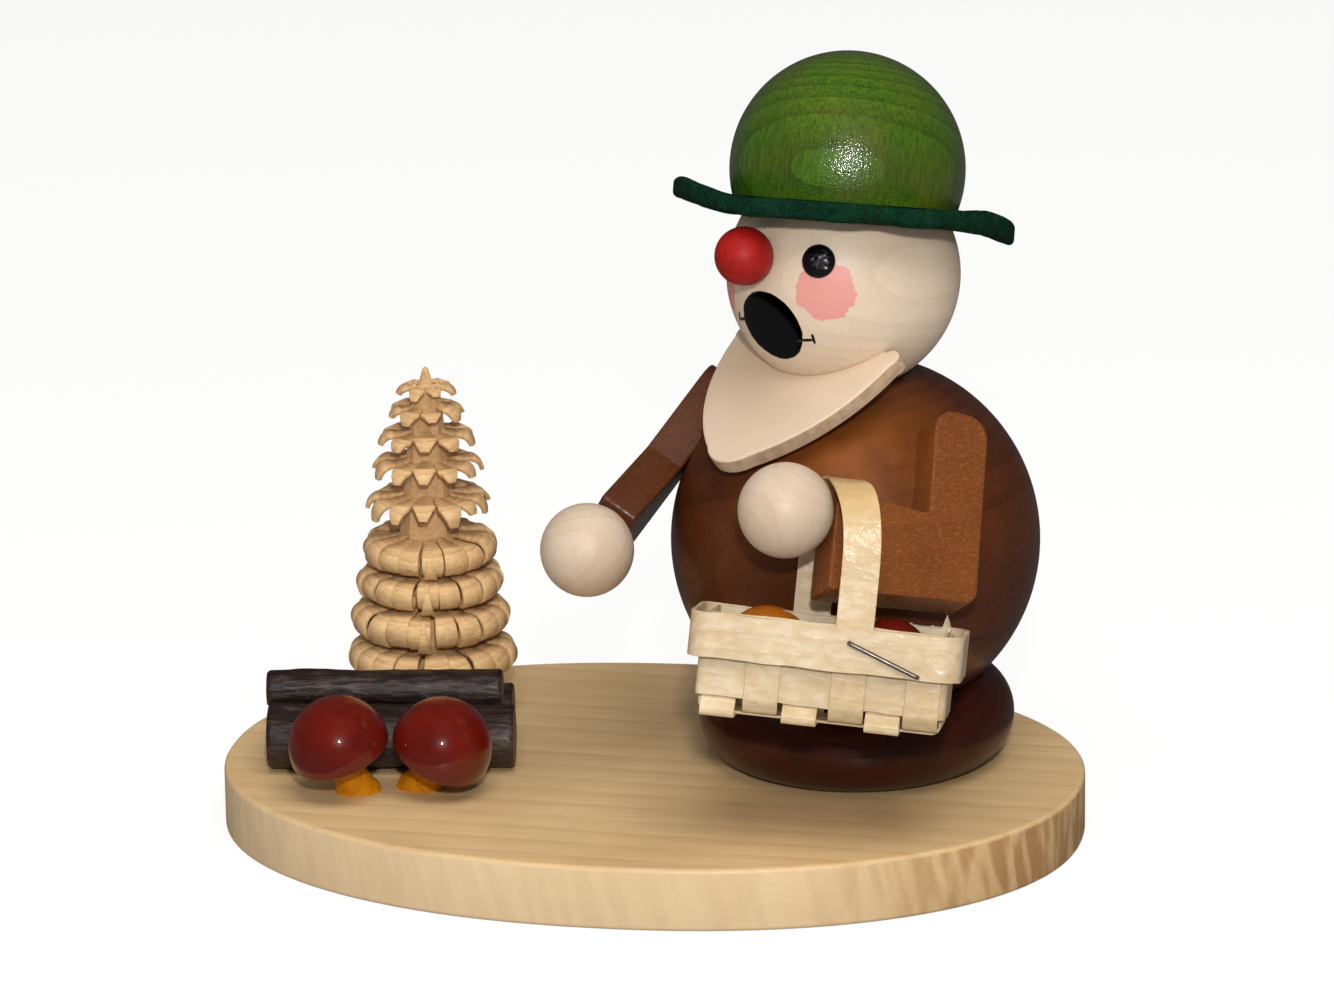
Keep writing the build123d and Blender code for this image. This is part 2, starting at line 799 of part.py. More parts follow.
def make_tree():
    """Stick shaved from its tip to its foot in tiers of curls, with its dowel in the board."""
    first = board_top + tree_first_tier
    top = first + tree_span
    core = turned(
        [
            (0, board_top),
            (tree_foot_radius, board_top),
            (tree_foot_radius, first),
            (tree_neck_radius, top),
            (tree_neck_radius / 2, top + tree_spike / 4),
            (0, top + tree_spike),
        ]
    )
    dowel = Cylinder(
        tree_dowel_diameter / 2,
        tree_dowel_length + overrun,
        align=(Align.CENTER, Align.CENTER, Align.MIN),
    )
    pieces = [Pos(0, 0, board_top - tree_dowel_length) * dowel]
    for number, share in enumerate(tier_height_shares):
        outer, roll, core_radius, sweep = tier(share)
        count = tier_counts[number]
        shaving = make_shaving(outer, roll, core_radius, sweep, count)
        lift = Pos(0, 0, first + tree_span * share)
        for turn in range(count):
            angle = (turn + number % 2 / 2) * 360 / count
            pieces.append(lift * Rotation(0, 0, angle) * shaving)
    return Pos(left_end + tree_inset, tree_y, 0) * core.fuse(*pieces)


# Everything in its place
parts["base_plate"] = make_board()
parts["foot_disc"] = make_foot()
parts["cone_dish"] = make_dish()
parts["dish_nail"] = make_nail()
parts["shaving_tree"] = make_tree()
parts["log_front"], parts["log_rear"], parts["log_top"] = make_logs()
for name, inset, y, lean in (
    ("left", left_mushroom_inset, left_mushroom_y, left_mushroom_lean),
    ("right", right_mushroom_inset, right_mushroom_y, right_mushroom_lean),
):
    cap, stem = make_mushroom(left_end + inset, y, lean)
    parts[f"mushroom_cap_{name}"] = cap
    parts[f"mushroom_stem_{name}"] = stem

parts["body_ball"] = make_body()
parts["head_ball"] = make_head()
parts["nose_ball"] = nose_ball(0)
parts["eye_left"] = make_eye(1)
parts["eye_right"] = make_eye(-1)
parts["beard_board"] = make_beard()
parts["hat_brim"] = make_brim()
parts["hat_crown"] = make_crown()
parts["arm_left"], parts["hand_left"] = make_arm(1, left_upper_angle, left_forearm_angle)
parts["arm_right"], parts["hand_right"] = make_arm(-1, right_upper_angle, right_forearm_angle)

basket = {}
for index in range(len(splint_place_shares)):
    basket[f"basket_splint_{index + 1}"] = make_cross_splint(index)
for index in range(runner_count):
    basket[f"basket_runner_{index + 1}"] = make_runner(index)
weaver_inset = wall(weaver_layer) - splint_thickness / 2
basket["basket_weaver"] = band(weaver_inset, splint_thickness, weaver_bottom, weaver_height)
basket["basket_rim"] = band(0, rim_thickness, basket_height - rim_height, rim_height)
basket["basket_inner_rim"] = band(
    wall(inner_layer) + splint_thickness / 2 + chip_gap, inner_rim_thickness, basket_height - rim_height, rim_height
)
basket["basket_handle"] = make_handle()
staples = {"basket_staple_front": make_staple(-1), "basket_staple_back": make_staple(1)}
for name, piece in basket.items():
    for staple in staples.values():
        piece = piece - staple
    basket[name] = piece
basket.update(staples)
for name, x in (("left", small_left_x), ("right", small_right_x)):
    cap, stem = make_small_mushroom(x)
    basket[f"basket_cap_{name}"] = cap
    basket[f"basket_stem_{name}"] = stem
for name, piece in basket.items():
    parts[name] = basket_frame() * piece

os.makedirs("parts", exist_ok=True)
for name, piece in parts.items():
    piece.label = name
    export_step(piece, f"parts/{name}.step")
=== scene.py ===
"""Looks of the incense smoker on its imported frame.

Shapes are worked out in millimetres in each piece's own frame and written in metres where the CAD
has them. Every new mesh carries a vector attribute "stock", the point in millimetres in the piece's
own frame, so that grain and wear stay with the piece.
"""
import math

import bmesh
import bpy
import numpy as np
from mathutils import Matrix, Vector


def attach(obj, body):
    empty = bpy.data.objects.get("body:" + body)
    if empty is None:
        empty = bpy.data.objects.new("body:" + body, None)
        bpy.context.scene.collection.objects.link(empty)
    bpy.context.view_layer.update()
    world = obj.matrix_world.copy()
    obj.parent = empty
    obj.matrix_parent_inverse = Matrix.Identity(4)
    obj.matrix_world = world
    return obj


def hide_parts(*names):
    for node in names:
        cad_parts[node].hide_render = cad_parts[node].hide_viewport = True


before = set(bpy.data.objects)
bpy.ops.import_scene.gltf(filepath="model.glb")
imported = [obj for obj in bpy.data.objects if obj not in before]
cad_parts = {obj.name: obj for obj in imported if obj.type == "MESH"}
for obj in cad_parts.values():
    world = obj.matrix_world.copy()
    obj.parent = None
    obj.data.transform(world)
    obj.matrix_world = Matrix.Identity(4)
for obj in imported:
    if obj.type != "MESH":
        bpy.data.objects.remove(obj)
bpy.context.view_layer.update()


# Camera, at the photograph's viewing angle: fitted to the oval board, the foot and the turned balls.
azimuth, elevation, roll = math.radians(10.852), math.radians(16.57), -0.01444
on_axis, distance = np.array((0.047256, -0.230241, 0.128209)), 0.9
back = np.array((
    math.sin(azimuth) * math.cos(elevation), -math.cos(azimuth) * math.cos(elevation), math.sin(elevation)
))
level = np.cross(-back, (0, 0, 1))
level /= np.linalg.norm(level)
upright = np.cross(level, -back)
right = math.cos(roll) * level + math.sin(roll) * upright
upward = math.cos(roll) * upright - math.sin(roll) * level
eye = on_axis + distance * back
turned_to = np.eye(4)
turned_to[:3] = np.stack([right, upward, back, eye], 1)

camera = bpy.data.objects.new("camera", bpy.data.cameras.new("camera"))
bpy.context.scene.collection.objects.link(camera)
camera.data.sensor_width = 36
camera.data.lens = 179.896
camera.data.clip_start = 0.05
camera.matrix_world = Matrix(turned_to)
bpy.context.scene.camera = camera
bpy.context.scene.view_settings.view_transform = "Standard"


# Light: a small lamp a hand above the lens gives the hard highlights of a flash; a large soft one on
# the left, another overhead and the sky fill the shadows.
def lamp(name, place, size, power, glint):
    """Square area lamp at a place, in metres, that shines at the middle; glint shows it in gloss."""
    light = bpy.data.lights.new(name, "AREA")
    light.size = size
    light.energy = power
    item = bpy.data.objects.new(name, light)
    away = Vector(place) - Vector(middle)
    item.matrix_world = Matrix.Translation(place) @ away.to_track_quat("Z", "Y").to_matrix().to_4x4()
    item.visible_glossy = glint
    bpy.context.scene.collection.objects.link(item)


middle = (0.0, 0.0, 0.06)
lamp("flash", tuple(eye + 0.02 * right + 0.16 * upward), 0.05, 6.5, True)
lamp("soft_left", (-0.75, -0.55, 0.75), 0.7, 1.2, False)
lamp("soft_top", (0.2, -0.45, 1.0), 0.7, 7.5, False)


# Floor and sky: white to the camera, like the paper that the photograph is cut out on, and dim in
# reflections, like the dark room that its lacquer mirrors. The floor keeps part of its lit surface,
# and with it the object's soft shadow.
def linear(code):
    """Linear colour with alpha from an sRGB hex code."""
    share = np.array([int(code[start : start + 2], 16) for start in (0, 2, 4)]) / 255
    light = np.where(share <= 0.04045, share / 12.92, ((share + 0.055) / 1.055) ** 2.4)
    return (*light.tolist(), 1.0)


def feed(node, values):
    """Sets a node's sockets, by name or in order: to a value, a hex colour, or another's output."""
    for key, value in values.items() if isinstance(values, dict) else enumerate(values):
        if isinstance(value, str):
            value = linear(value)
        if isinstance(value, bpy.types.Node):
            value = next(output for output in value.outputs if output.enabled)
        if isinstance(value, bpy.types.NodeSocket):
            node.id_data.links.new(value, node.inputs[key])
        else:
            node.inputs[key].default_value = value


def add(tree, kind, values=(), **settings):
    """One shader node, with its settings and what feeds its sockets."""
    node = tree.nodes.new("ShaderNode" + kind)
    for key, value in settings.items():
        setattr(node, key, value)
    feed(node, values)
    return node


def blank(name):
    """New node material and its tree, emptied."""
    material = bpy.data.materials.new(name)
    material.use_nodes = True
    material.node_tree.nodes.clear()
    return material, material.node_tree


paper, tree = blank("white_paper_floor")
rays = add(tree, "LightPath").outputs
lit = add(tree, "BsdfDiffuse", {"Color": "BEBCB8"})
bright = add(tree, "Math", (rays["Is Camera Ray"], 1.3, 0.05), operation="MULTIPLY_ADD")
glow = add(tree, "Emission", {"Color": "FFFFFF", "Strength": bright})
dulled = add(tree, "Math", (rays["Is Glossy Ray"], 0.85), operation="MULTIPLY")
glowing = add(tree, "Math", (rays["Is Camera Ray"], 0.62, dulled), operation="MULTIPLY_ADD")
mixed = add(tree, "MixShader", (glowing, lit, glow))
add(tree, "OutputMaterial", {"Surface": mixed})

bpy.ops.mesh.primitive_plane_add(size=8)
floor = bpy.context.object
floor.name = "floor"
floor.data.materials.append(paper)

world = bpy.data.worlds.new("white_sky")
bpy.context.scene.world = world
world.use_nodes = True
world.node_tree.nodes.clear()
rays = add(world.node_tree, "LightPath").outputs
dim = add(world.node_tree, "Math", (rays["Is Glossy Ray"], -0.2, 0.26), operation="MULTIPLY_ADD")
seen = add(world.node_tree, "Math", (rays["Is Camera Ray"], dim), operation="MAXIMUM")
sky = add(world.node_tree, "Background", {"Color": "FFFFFF", "Strength": seen})
add(world.node_tree, "OutputWorld", {"Surface": sky})


# Board: an oval of softwood, sawn, planed on top and its arrises broken with paper; cut from one
# plank whose heart lies beside it, so the lines run along the top and slant on the edge.
def placed(*steps):
    """Place in mm, 4x4: shifts (x, y, z) and turns (axis, degrees) applied one in the other."""
    place = np.eye(4)
    for step in steps:
        move = np.eye(4)
        if isinstance(step[0], str):
            move[:3, :3] = Matrix.Rotation(math.radians(step[1]), 3, step[0])
        else:
            move[:3, 3] = step
        place = place @ move
    return place


def carry(points, place):
    """Points moved into a place: rotation times point plus shift."""
    return points @ place[:3, :3].T + place[:3, 3]


def ripple(points, size, seed):
    """Smooth seeded noise between about -1 and 1: a mean of 24 plane waves about size long."""
    rng = np.random.default_rng(seed)
    ways = rng.normal(size=(24, 3))
    ways *= 2 * np.pi / size / np.linalg.norm(ways, axis=1, keepdims=True) * rng.uniform(0.5, 1.5, (24, 1))
    return np.sin(points @ ways.T + rng.uniform(0, 2 * np.pi, 24)).sum(-1) / 6


def surface(name, grids, place, materials, wrap=False, caps=False, crease=40, shades=None):
    """Closed mesh from grids of points in mm, shape (..., rows, columns, 3), columns in a ring.

    Each quad joins point (row, column) with the next ones. Doubled points merge, so poles close,
    normals turn outward, and edges sharper than crease degrees stay sharp. Shades gives the
    material number of each row of quads.
    """
    grids = np.asarray(grids, float)
    rows, columns = grids.shape[-3:-1]
    points = grids.reshape(-1, 3)
    row = np.arange(rows if wrap else rows - 1)[:, None]
    column = np.arange(columns)[None]
    here, under, beside = row * columns, (row + 1) % rows * columns, (column + 1) % columns
    corners = here + column, here + beside, under + beside, under + column
    one = np.stack(np.broadcast_arrays(*corners), -1).reshape(-1, 4)
    starts = np.arange(len(points) // (rows * columns))[:, None] * rows * columns
    faces = (one[None] + starts[:, None]).reshape(-1, 4).tolist()
    if caps:
        ring = np.arange(columns)
        faces += (starts + ring).tolist() + (starts + (rows - 1) * columns + ring).tolist()
    mesh = bpy.data.meshes.new(name)
    mesh.from_pydata((carry(points, place) / 1000).tolist(), [], faces)
    if shades is not None:
        mesh.polygons.foreach_set("material_index", np.repeat(shades, columns))
    work = bmesh.new()
    work.from_mesh(mesh)
    bmesh.ops.remove_doubles(work, verts=work.verts, dist=1e-6)
    bmesh.ops.recalc_face_normals(work, faces=work.faces)
    work.to_mesh(mesh)
    work.free()
    mesh.polygons.foreach_set("use_smooth", np.ones(len(mesh.polygons), bool))
    mesh.set_sharp_from_angle(angle=math.radians(crease))
    found = np.empty(len(mesh.vertices) * 3)
    mesh.vertices.foreach_get("co", found)
    own = carry(found.reshape(-1, 3) * 1000, np.linalg.inv(place))
    mesh.attributes.new("stock", "FLOAT_VECTOR", "POINT").data.foreach_set("vector", own.ravel())
    item = bpy.data.objects.new(name, mesh)
    bpy.context.scene.collection.objects.link(item)
    for material in materials:
        mesh.materials.append(material)
    return item


def settle(item, body, slot, *nodes):
    """The piece rides its body and stands for its CAD nodes, which it hides; slot is not used."""
    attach(item, body)
    if nodes:
        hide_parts(*nodes)


def arc(centre, radius, start, end, count):
    """Points of a plane arc from one angle to another, in degrees: centre + radius (cos, sin)."""
    turn = np.radians(np.linspace(start, end, count))
    return np.stack([centre[0] + radius * np.cos(turn), centre[1] + radius * np.sin(turn)], -1)


def sawn(outline, thickness, edge, steps=4):
    """Grid of a board sawn to an outline, its arrises rounded to radius edge.

    Each row is the outline moved inward along its normals and lifted: a quarter round at the
    bottom and at the top, with one more row on each face to keep it flat. An outline whose
    enclosed area is negative runs clockwise and is turned over first.
    """
    x, y = outline.T
    outline = outline if np.sum(x * np.roll(y, -1) - np.roll(x, -1) * y) > 0 else outline[::-1]
    way = np.roll(outline, -1, 0) - np.roll(outline, 1, 0)
    inward = np.stack([-way[:, 1], way[:, 0]], -1) / np.linalg.norm(way, axis=1, keepdims=True)
    round_edge = arc((edge, edge), edge, 270, 180, steps + 1)
    inset = np.concatenate([[edge * 1.4], round_edge[:, 0], round_edge[::-1, 0], [edge * 1.4]])
    height = np.concatenate([[0], round_edge[:, 1], thickness - round_edge[::-1, 1], [thickness]])
    flat = outline[None] + inset[:, None, None] * inward[None]
    lift = np.broadcast_to(height[:, None, None], (*flat.shape[:2], 1))
    return np.concatenate([flat, lift], -1)


def coating(name, **gloss):
    """New material with one principled shader; gloss gives its plain values by their sockets' names.

    Returns material, tree, shader and stock, the point in mm in the piece's own frame.
    """
    material, tree = blank(name)
    values = {key.replace("_", " ").title().replace("Ior", "IOR"): value for key, value in gloss.items()}
    shader = add(tree, "BsdfPrincipled", values)
    add(tree, "OutputMaterial", {"Surface": shader})
    return material, tree, shader, add(tree, "Attribute", attribute_name="stock").outputs["Vector"]


def tint(tree, colour, other, value, low=0.0, high=1.0, start=0.0, end=1.0):
    """Two colours mixed: the other's share goes from start to end while the value goes low to high."""
    share = add(tree, "MapRange", (value, low, high, start, end))
    return add(tree, "Mix", {0: share, 6: colour, 7: other}, data_type="RGBA")


def speckle(tree, stock, size, stretch=(1, 1, 1), detail=3.0):
    """Noise between 0 and 1 whose spots are size mm, longer along an axis whose stretch is under 1."""
    drawn_out = add(tree, "Mapping", {"Vector": stock, "Scale": stretch})
    return add(tree, "TexNoise", {"Vector": drawn_out, "Scale": 1 / size, "Detail": detail})


def timber(name, pale, dark, gap, heart, tilt, share, fibre=0.5, along=0.05, clouds=0.15, **gloss):
    """Wood cut from a stem along X: saw-shaped growth rings about the heart, fibres and clouds.

    The ring value is a wave over the distance from an axis through heart, gap mm apart; share is
    how far the late wood goes to the dark colour. Returns material, tree, shader, stock, colour.
    """
    wood, tree, shader, stock = coating(name, **gloss)
    stem = add(tree, "Mapping", {"Vector": stock, "Location": heart, "Rotation": tilt})
    values = {"Vector": stem, "Scale": 0.314 / gap, "Distortion": 1.6, "Detail": 2.0, "Detail Scale": 0.35}
    rings = add(tree, "TexWave", values, wave_type="RINGS", rings_direction="X", wave_profile="SAW")
    late = add(tree, "Math", (rings.outputs["Fac"], 2.2), operation="POWER")
    fibres = speckle(tree, stock, fibre, (along, 1, 1), 4.0)
    streak = add(tree, "MapRange", (fibres, 0.35, 0.7, 0.0, share))
    grain = add(tree, "Math", (late, share, streak), operation="MULTIPLY_ADD", use_clamp=True)
    colour = tint(tree, pale, dark, grain)
    colour = tint(tree, colour, dark, speckle(tree, stock, 16.0), 0.35, 0.7, 0.0, clouds)
    bump = add(tree, "Bump", {"Height": fibres, "Strength": 0.35, "Distance": 0.00012})
    feed(shader, {"Base Color": colour, "Normal": bump})
    return wood, tree, shader, stock, colour


# Planed softwood, unfinished but handled: pale, with fine darker late wood and a silk shine. The
# sawn edge is painted paler, as light, away from the right end, and cuts the rings in slanted darker
# stripes that grow stronger toward the right end as painted shade.
pine, tree, shader, stock, colour = timber(
    "planed_softwood", "DCBB8A", "A87A40", 6.5, (0, 83, -11), (0.0, 0.035, 0.05), 0.2, 0.6, 0.025, 0.2,
    roughness=0.5, coat_weight=0.1, coat_roughness=0.3,
)
at = add(tree, "SeparateXYZ", {"Vector": stock}).outputs
# painted light: the sawn edge is made paler everywhere but toward the right end
edge_light_share = add(tree, "MapRange", (at["X"], 30.0, 62.0, 0.6, 0.0))
sawn_edge = add(tree, "MapRange", (at["Z"], 10.8, 10.3))
colour = tint(tree, colour, "E6CDA6", add(tree, "Math", (sawn_edge, edge_light_share), operation="MULTIPLY"))
leaning = add(tree, "Mapping", {"Vector": stock, "Rotation": (0, 0.25, 0)})
stripes = add(tree, "MapRange", (speckle(tree, leaning, 2.6, (1, 1, 0.1), 1.0), 0.42, 0.6, 0.25, 1.0))
# painted shade: the slanted stripes grow darker toward the right end
right_end_shade = add(tree, "MapRange", (at["X"], 40.0, 68.0, 0.12, 0.75))
stripes = add(tree, "Math", (stripes, right_end_shade), operation="MULTIPLY")
below_arris = add(tree, "MapRange", (at["Z"], 10.7, 10.2))
stripes = add(tree, "Math", (stripes, below_arris), operation="MULTIPLY")
feed(shader, {"Base Color": tint(tree, colour, "9A6A34", stripes)})

board_half = (75.1, 55.2)
board_top, board_fullness = 11.0, 2.14
turn = np.linspace(0, 2 * np.pi, 240, endpoint=False)
ways = np.stack([np.cos(turn), np.sin(turn)], -1)
oval = board_half * np.sign(ways) * np.abs(ways) ** (2 / board_fullness)
board = surface("oval_board", sawn(oval, board_top, 0.8), placed(), [pine], caps=True)
settle(board, "base", "pine_board", "base_plate")


# Foot: a thick beech disc, turned with a full round edge and a spigot on top. It is glued to the
# board, and the body sits loose on the spigot.
def turned(profile, sides=128):
    """Grid of a turned piece: radius cos(turn), radius sin(turn), height for each profile point."""
    turn = np.linspace(0, 2 * np.pi, sides, endpoint=False)
    radius, height = np.asarray(profile, float).T
    lift = np.broadcast_to(height[:, None], (len(radius), sides))
    return np.stack([radius[:, None] * np.cos(turn), radius[:, None] * np.sin(turn), lift], -1)


# Dark red-brown stain under two coats of gloss lacquer, sprayed: sharp reflections, grain hardly seen.
foot_finish = timber(
    "dark_red_lacquered_beech", "3E1508", "220A04", 2.2, (9, 6, 0), (0, 1.5, 0), 0.4, 0.4, 0.06, 0.3,
    roughness=0.4, specular_ior_level=0.15, coat_weight=0.3, coat_roughness=0.12,
)[0]
figure_spot = (34.3, 9.55)
foot_round, foot_flat, spigot, spigot_top, chamfer = 8.0, 19.4, 12.0, 25.0, 0.8
foot_profile = [
    (0, 0), *arc((foot_flat, foot_round), foot_round, -90, 90, 25), (spigot, 2 * foot_round),
    (spigot, spigot_top - chamfer), (spigot - chamfer, spigot_top), (0, spigot_top),
]
foot = surface("turned_foot", turned(foot_profile), placed((*figure_spot, board_top)), [foot_finish])
settle(foot, "base", "dark_red_lacquer", "foot_disc")

# Dish and nail keep their CAD shapes: bright tinplate, pressed, and a drawn steel nail. Both show
# fine scratches as a change of their shine.
metals = {}
for name, colour, roughness, node in (
    ("pressed_tinplate", "BDBDB8", 0.28, "cone_dish"), ("drawn_steel", "A39A92", 0.42, "dish_nail")
):
    metal, tree = blank(name)
    at = add(tree, "TexCoord").outputs["Object"]
    scratches = add(tree, "TexNoise", {"Vector": at, "Scale": 900.0, "Detail": 4.0})
    rough = add(tree, "MapRange", (scratches, 0.3, 0.7, roughness - 0.08, roughness + 0.12))
    shader = add(tree, "BsdfPrincipled", {"Base Color": colour, "Metallic": 1.0, "Roughness": rough})
    add(tree, "OutputMaterial", {"Surface": shader})
    metals[name] = metal
    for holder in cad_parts[node].material_slots:
        holder.material = metal


# Body: a hollow beech ball, turned, bored from below for the cone and from above for the smoke, and
# cut flat at foot and neck. Its bore shows only when it is lifted.
figure_place = placed((*figure_spot, 50.131), ("Z", -117.7))
head_place = figure_place @ placed((1.1, -1.4, 47.174), ("Z", -9.2), ("Y", -14), ("X", 5.8))
hat_place = head_place @ placed(("Z", 134.5), ("Y", -1.4), (-0.6, 0, 8.8))

# Brown water stain that sinks in unevenly under gloss lacquer: dark clouds, warm where it is thin, and
# a warm sheen painted on the upper front, where the overhead lamp gleams.
body_wood, tree, shader, stock, colour = timber(
    "brown_stained_gloss_beech", "5A2D16", "341608", 2.6, (6, 4, 0), (0, 1.57, 0), 0.45, 0.35, 0.12, 0.55,
    roughness=0.4, specular_ior_level=0.2, coat_weight=0.25, coat_roughness=0.16,
)
warm = add(tree, "Math", (speckle(tree, stock, 22.0, (1, 1, 1), 1.0), 3.0), operation="POWER")
colour = tint(tree, colour, "7C451C", warm, 0.0, 1.0, 0.0, 0.3)
# painted sheen: a warm patch round one spot on the upper front, where the lamps are mirrored
from_sheen_spot = add(tree, "VectorMath", (stock, (18.8, 14.3, 21.4)), operation="DISTANCE")
near = add(tree, "MapRange", (from_sheen_spot, 25.0, 1.0))
uneven = add(tree, "MapRange", (speckle(tree, stock, 6.0), 0.2, 0.8, 0.3, 0.9))
flare = add(tree, "Math", (near, uneven), operation="MULTIPLY")
feed(shader, {"Base Color": tint(tree, colour, "90501A", flare, 0.0, 1.0, 0.0, 0.9)})

body_radius, seat, neck, chamber, duct = 31.85, -23.031, 29.853, 12.3, 4
body_profile = [
    (chamber, seat), (21.6, seat), *arc((0, 0), body_radius, -46.0, 69.6, 96), (10, neck), (duct, neck),
    (duct, seat + 34), (chamber, seat + 28),
]
body = surface("turned_body", turned(body_profile, 192), figure_place, [body_wood], wrap=True)
settle(body, "figure", "brown_stain_body", "body_ball")


# Head: a pale turned ball bored for the mouth and cut flat for neck and hat. The bore is blackened;
# the cheeks are dabbed on with a round brush.
def pale_wood(name, pale, dark, heart, tilt, share, clouds):
    """Unstained pale hardwood, turned or sawn and polished in the drum: faint rings, silk shine."""
    return timber(
        name, pale, dark, 1.5, heart, tilt, share, 0.5, 0.08, clouds,
        roughness=0.5, coat_weight=0.15, coat_roughness=0.35,
    )


head_radius, mouth_radius, neck_flat = 20.0, 6.2, 80.03
mouth_turn = placed(("Z", 2), ("Y", 121))
head_wood, tree, shader, stock, colour = pale_wood(
    "pale_turned_maple_head", "E4D0B8", "C0A07C", (4, 3, 0), (0, 1.45, 0.1), 0.16, 0.15
)
ragged = speckle(tree, stock, 1.6)
cheeks = []
for turn_left in (37.0, -37.0):
    spot = head_radius * placed(("Z", turn_left), ("Y", 9.0))[:3, 0]
    away = add(tree, "VectorMath", (stock, tuple(spot)), operation="DISTANCE")
    wavering = add(tree, "MapRange", (ragged, 0.3, 0.7, -0.5, 0.5))
    away = add(tree, "Math", (away, wavering), operation="ADD")
    cheeks.append(add(tree, "MapRange", (away, 5.15, 4.95)))
cheek = add(tree, "Math", cheeks, operation="MAXIMUM")
colour = tint(tree, colour, "E39389", cheek, 0.0, 1.0, 0.0, 0.92)
mouth_way = tuple(mouth_turn[:3, 2])
across = add(tree, "VectorMath", (stock, mouth_way), operation="CROSS_PRODUCT")
off_axis = add(tree, "VectorMath", (across,), operation="LENGTH")
wavering = add(tree, "MapRange", (ragged, 0.3, 0.7, -0.1, 0.1))
off_axis = add(tree, "Math", (off_axis, wavering), operation="ADD")
in_bore = add(tree, "MapRange", (off_axis, mouth_radius + 0.35, mouth_radius + 0.22))
ahead = add(tree, "VectorMath", (stock, mouth_way), operation="DOT_PRODUCT")
ahead = add(tree, "Math", (ahead, -6.0), operation="GREATER_THAN")
black = add(tree, "Math", (in_bore, ahead), operation="MULTIPLY")
feed(shader, {
    "Base Color": tint(tree, colour, "020202", black),
    "Roughness": add(tree, "MapRange", (black, 0.0, 1.0, 0.5, 0.95)),
    "Coat Weight": add(tree, "MapRange", (black, 0.0, 1.0, 0.15, 0.0)),
})

lip = arc((mouth_radius + 0.3, 18.62), 0.3, 180, 90, 4)
ball = arc((0, 0), head_radius, 71.2, -90, 150)
head_profile = [(0, -4), (mouth_radius, -4), (mouth_radius, 18.0), *lip, *ball]
points = carry(turned(head_profile, 240), np.linalg.inv(hat_place) @ head_place @ mouth_turn)
points[..., 2] = np.minimum(points[..., 2], 0)
points = carry(points, hat_place)
points[..., 2] = np.maximum(points[..., 2], neck_flat)
head = surface("turned_head", carry(points, np.linalg.inv(head_place)), head_place, [head_wood])
settle(head, "figure", "pale_wood", "head_ball")


# Painted corners of the mouth: short strokes of black lacquer, put on with a thin brush, that stand
# a hair proud of the wood.
def unit(vectors):
    """Vectors scaled to length one."""
    return vectors / np.linalg.norm(vectors, axis=-1, keepdims=True)


def tube(path, up, radius, flat=1.0, sides=12):
    """Grid of a round bar along a path: path + radius (cos a side + flat sin a up) at each point."""
    way = unit(np.gradient(path, axis=0))
    side = unit(np.cross(way, up))
    up = np.cross(side, way)
    turn = np.linspace(0, 2 * np.pi, sides, endpoint=False)[None, :, None]
    radius = np.broadcast_to(radius, len(path))[:, None, None]
    return path[:, None] + radius * (np.cos(turn) * side[:, None] + flat * np.sin(turn) * up[:, None])


# Black lacquer, put on thick: a hard shine over a skin that dried with an orange peel.
black_lacquer, tree, shader, stock = coating(
    "black_lacquer_paint", base_color="060607", roughness=0.4, specular_ior_level=0.1,
    coat_weight=1.0, coat_roughness=0.06,
)
orange_peel = speckle(tree, stock, 0.7, (1, 1, 1), 1.0)
bump = add(tree, "Bump", {"Height": orange_peel, "Strength": 0.5, "Distance": 0.00015})
feed(shader, {"Normal": bump, "Coat Normal": bump})

for name, start, end, width in (
    ("mouth_line_left", (15.2, 5.6, -11.8), (14.04, 8.47, -11.45), 0.3),
    ("mouth_tick_left", (14.74, 8.56, -10.47), (13.56, 8.33, -12.12), 0.26),
    ("mouth_line_right", (17.1, -5.0, -9.1), (15.84, -7.85, -9.35), 0.3),
    ("mouth_tick_right", (16.9, -7.2, -8.14), (15.45, -8.0, -9.69), 0.26),
):
    share = np.linspace(0, 1, 9)[:, None]
    line = (head_radius + 0.02) * unit(np.array(start) * (1 - share) + np.array(end) * share)
    widths = np.array([0.35, 0.8, 1, 1, 0.95, 1, 1, 0.8, 0.3]) * width
    grid = tube(line, line.mean(0), widths, 0.3, 10)
    stroke = surface(name, grid, head_place, [black_lacquer], caps=True)
    settle(stroke, "figure", "black_lacquer")


# Nose: a bought ball dyed right through red, drum polished, let a little into the head; the dye is
# slightly patchy and hardly shines.
red_ball, tree, shader, stock = coating("dyed_red_ball", roughness=0.5, specular_ior_level=0.25)
mottle = speckle(tree, stock, 1.1, (1, 1, 0.4))
bump = add(tree, "Bump", {"Height": mottle, "Strength": 0.3, "Distance": 0.0001})
feed(shader, {"Base Color": tint(tree, "8F1310", "A81B16", mottle, 0.3, 0.7), "Normal": bump})

nose_place = head_place @ placed(("Y", -3.5), (24.1, 0, 0), ("Y", 90))
nose_profile = [*arc((0, 0), 5.0, -90, 84, 48), (0.4, 4.96), (0, 4.9)]
nose = surface("turned_nose", turned(nose_profile, 96), nose_place, [red_ball])
settle(nose, "figure", "red_ball", "nose_ball")

# Eyes: thick drops of the same black lacquer, dabbed on the head, that dried with a wrinkled skin
# and a little thicker in the middle.
eye_radius, eye_height = 2.9, 0.95
for hand, side in (("left", 1), ("right", -1)):
    eye_place = head_place @ placed(("Z", side * 31.9), ("Y", 84.7))
    radius = np.linspace(0, eye_radius, 20)
    rise = eye_height * np.sqrt(np.maximum(1 - (radius / eye_radius) ** 2.4, 0))
    on_head = np.sqrt(head_radius**2 - radius**2)
    top = turned(np.stack([radius, on_head + rise], -1), 72)
    top[..., 2] += 0.1 * ripple(top, 1.1, 5 + side) * rise[:, None]
    under = turned(np.stack([radius, on_head - 0.3], -1)[::-1], 72)
    drop = surface(f"eye_drop_{hand}", np.concatenate([top, under]), eye_place, [black_lacquer], crease=80)
    settle(drop, "figure", "black_lacquer", f"eye_{hand}")
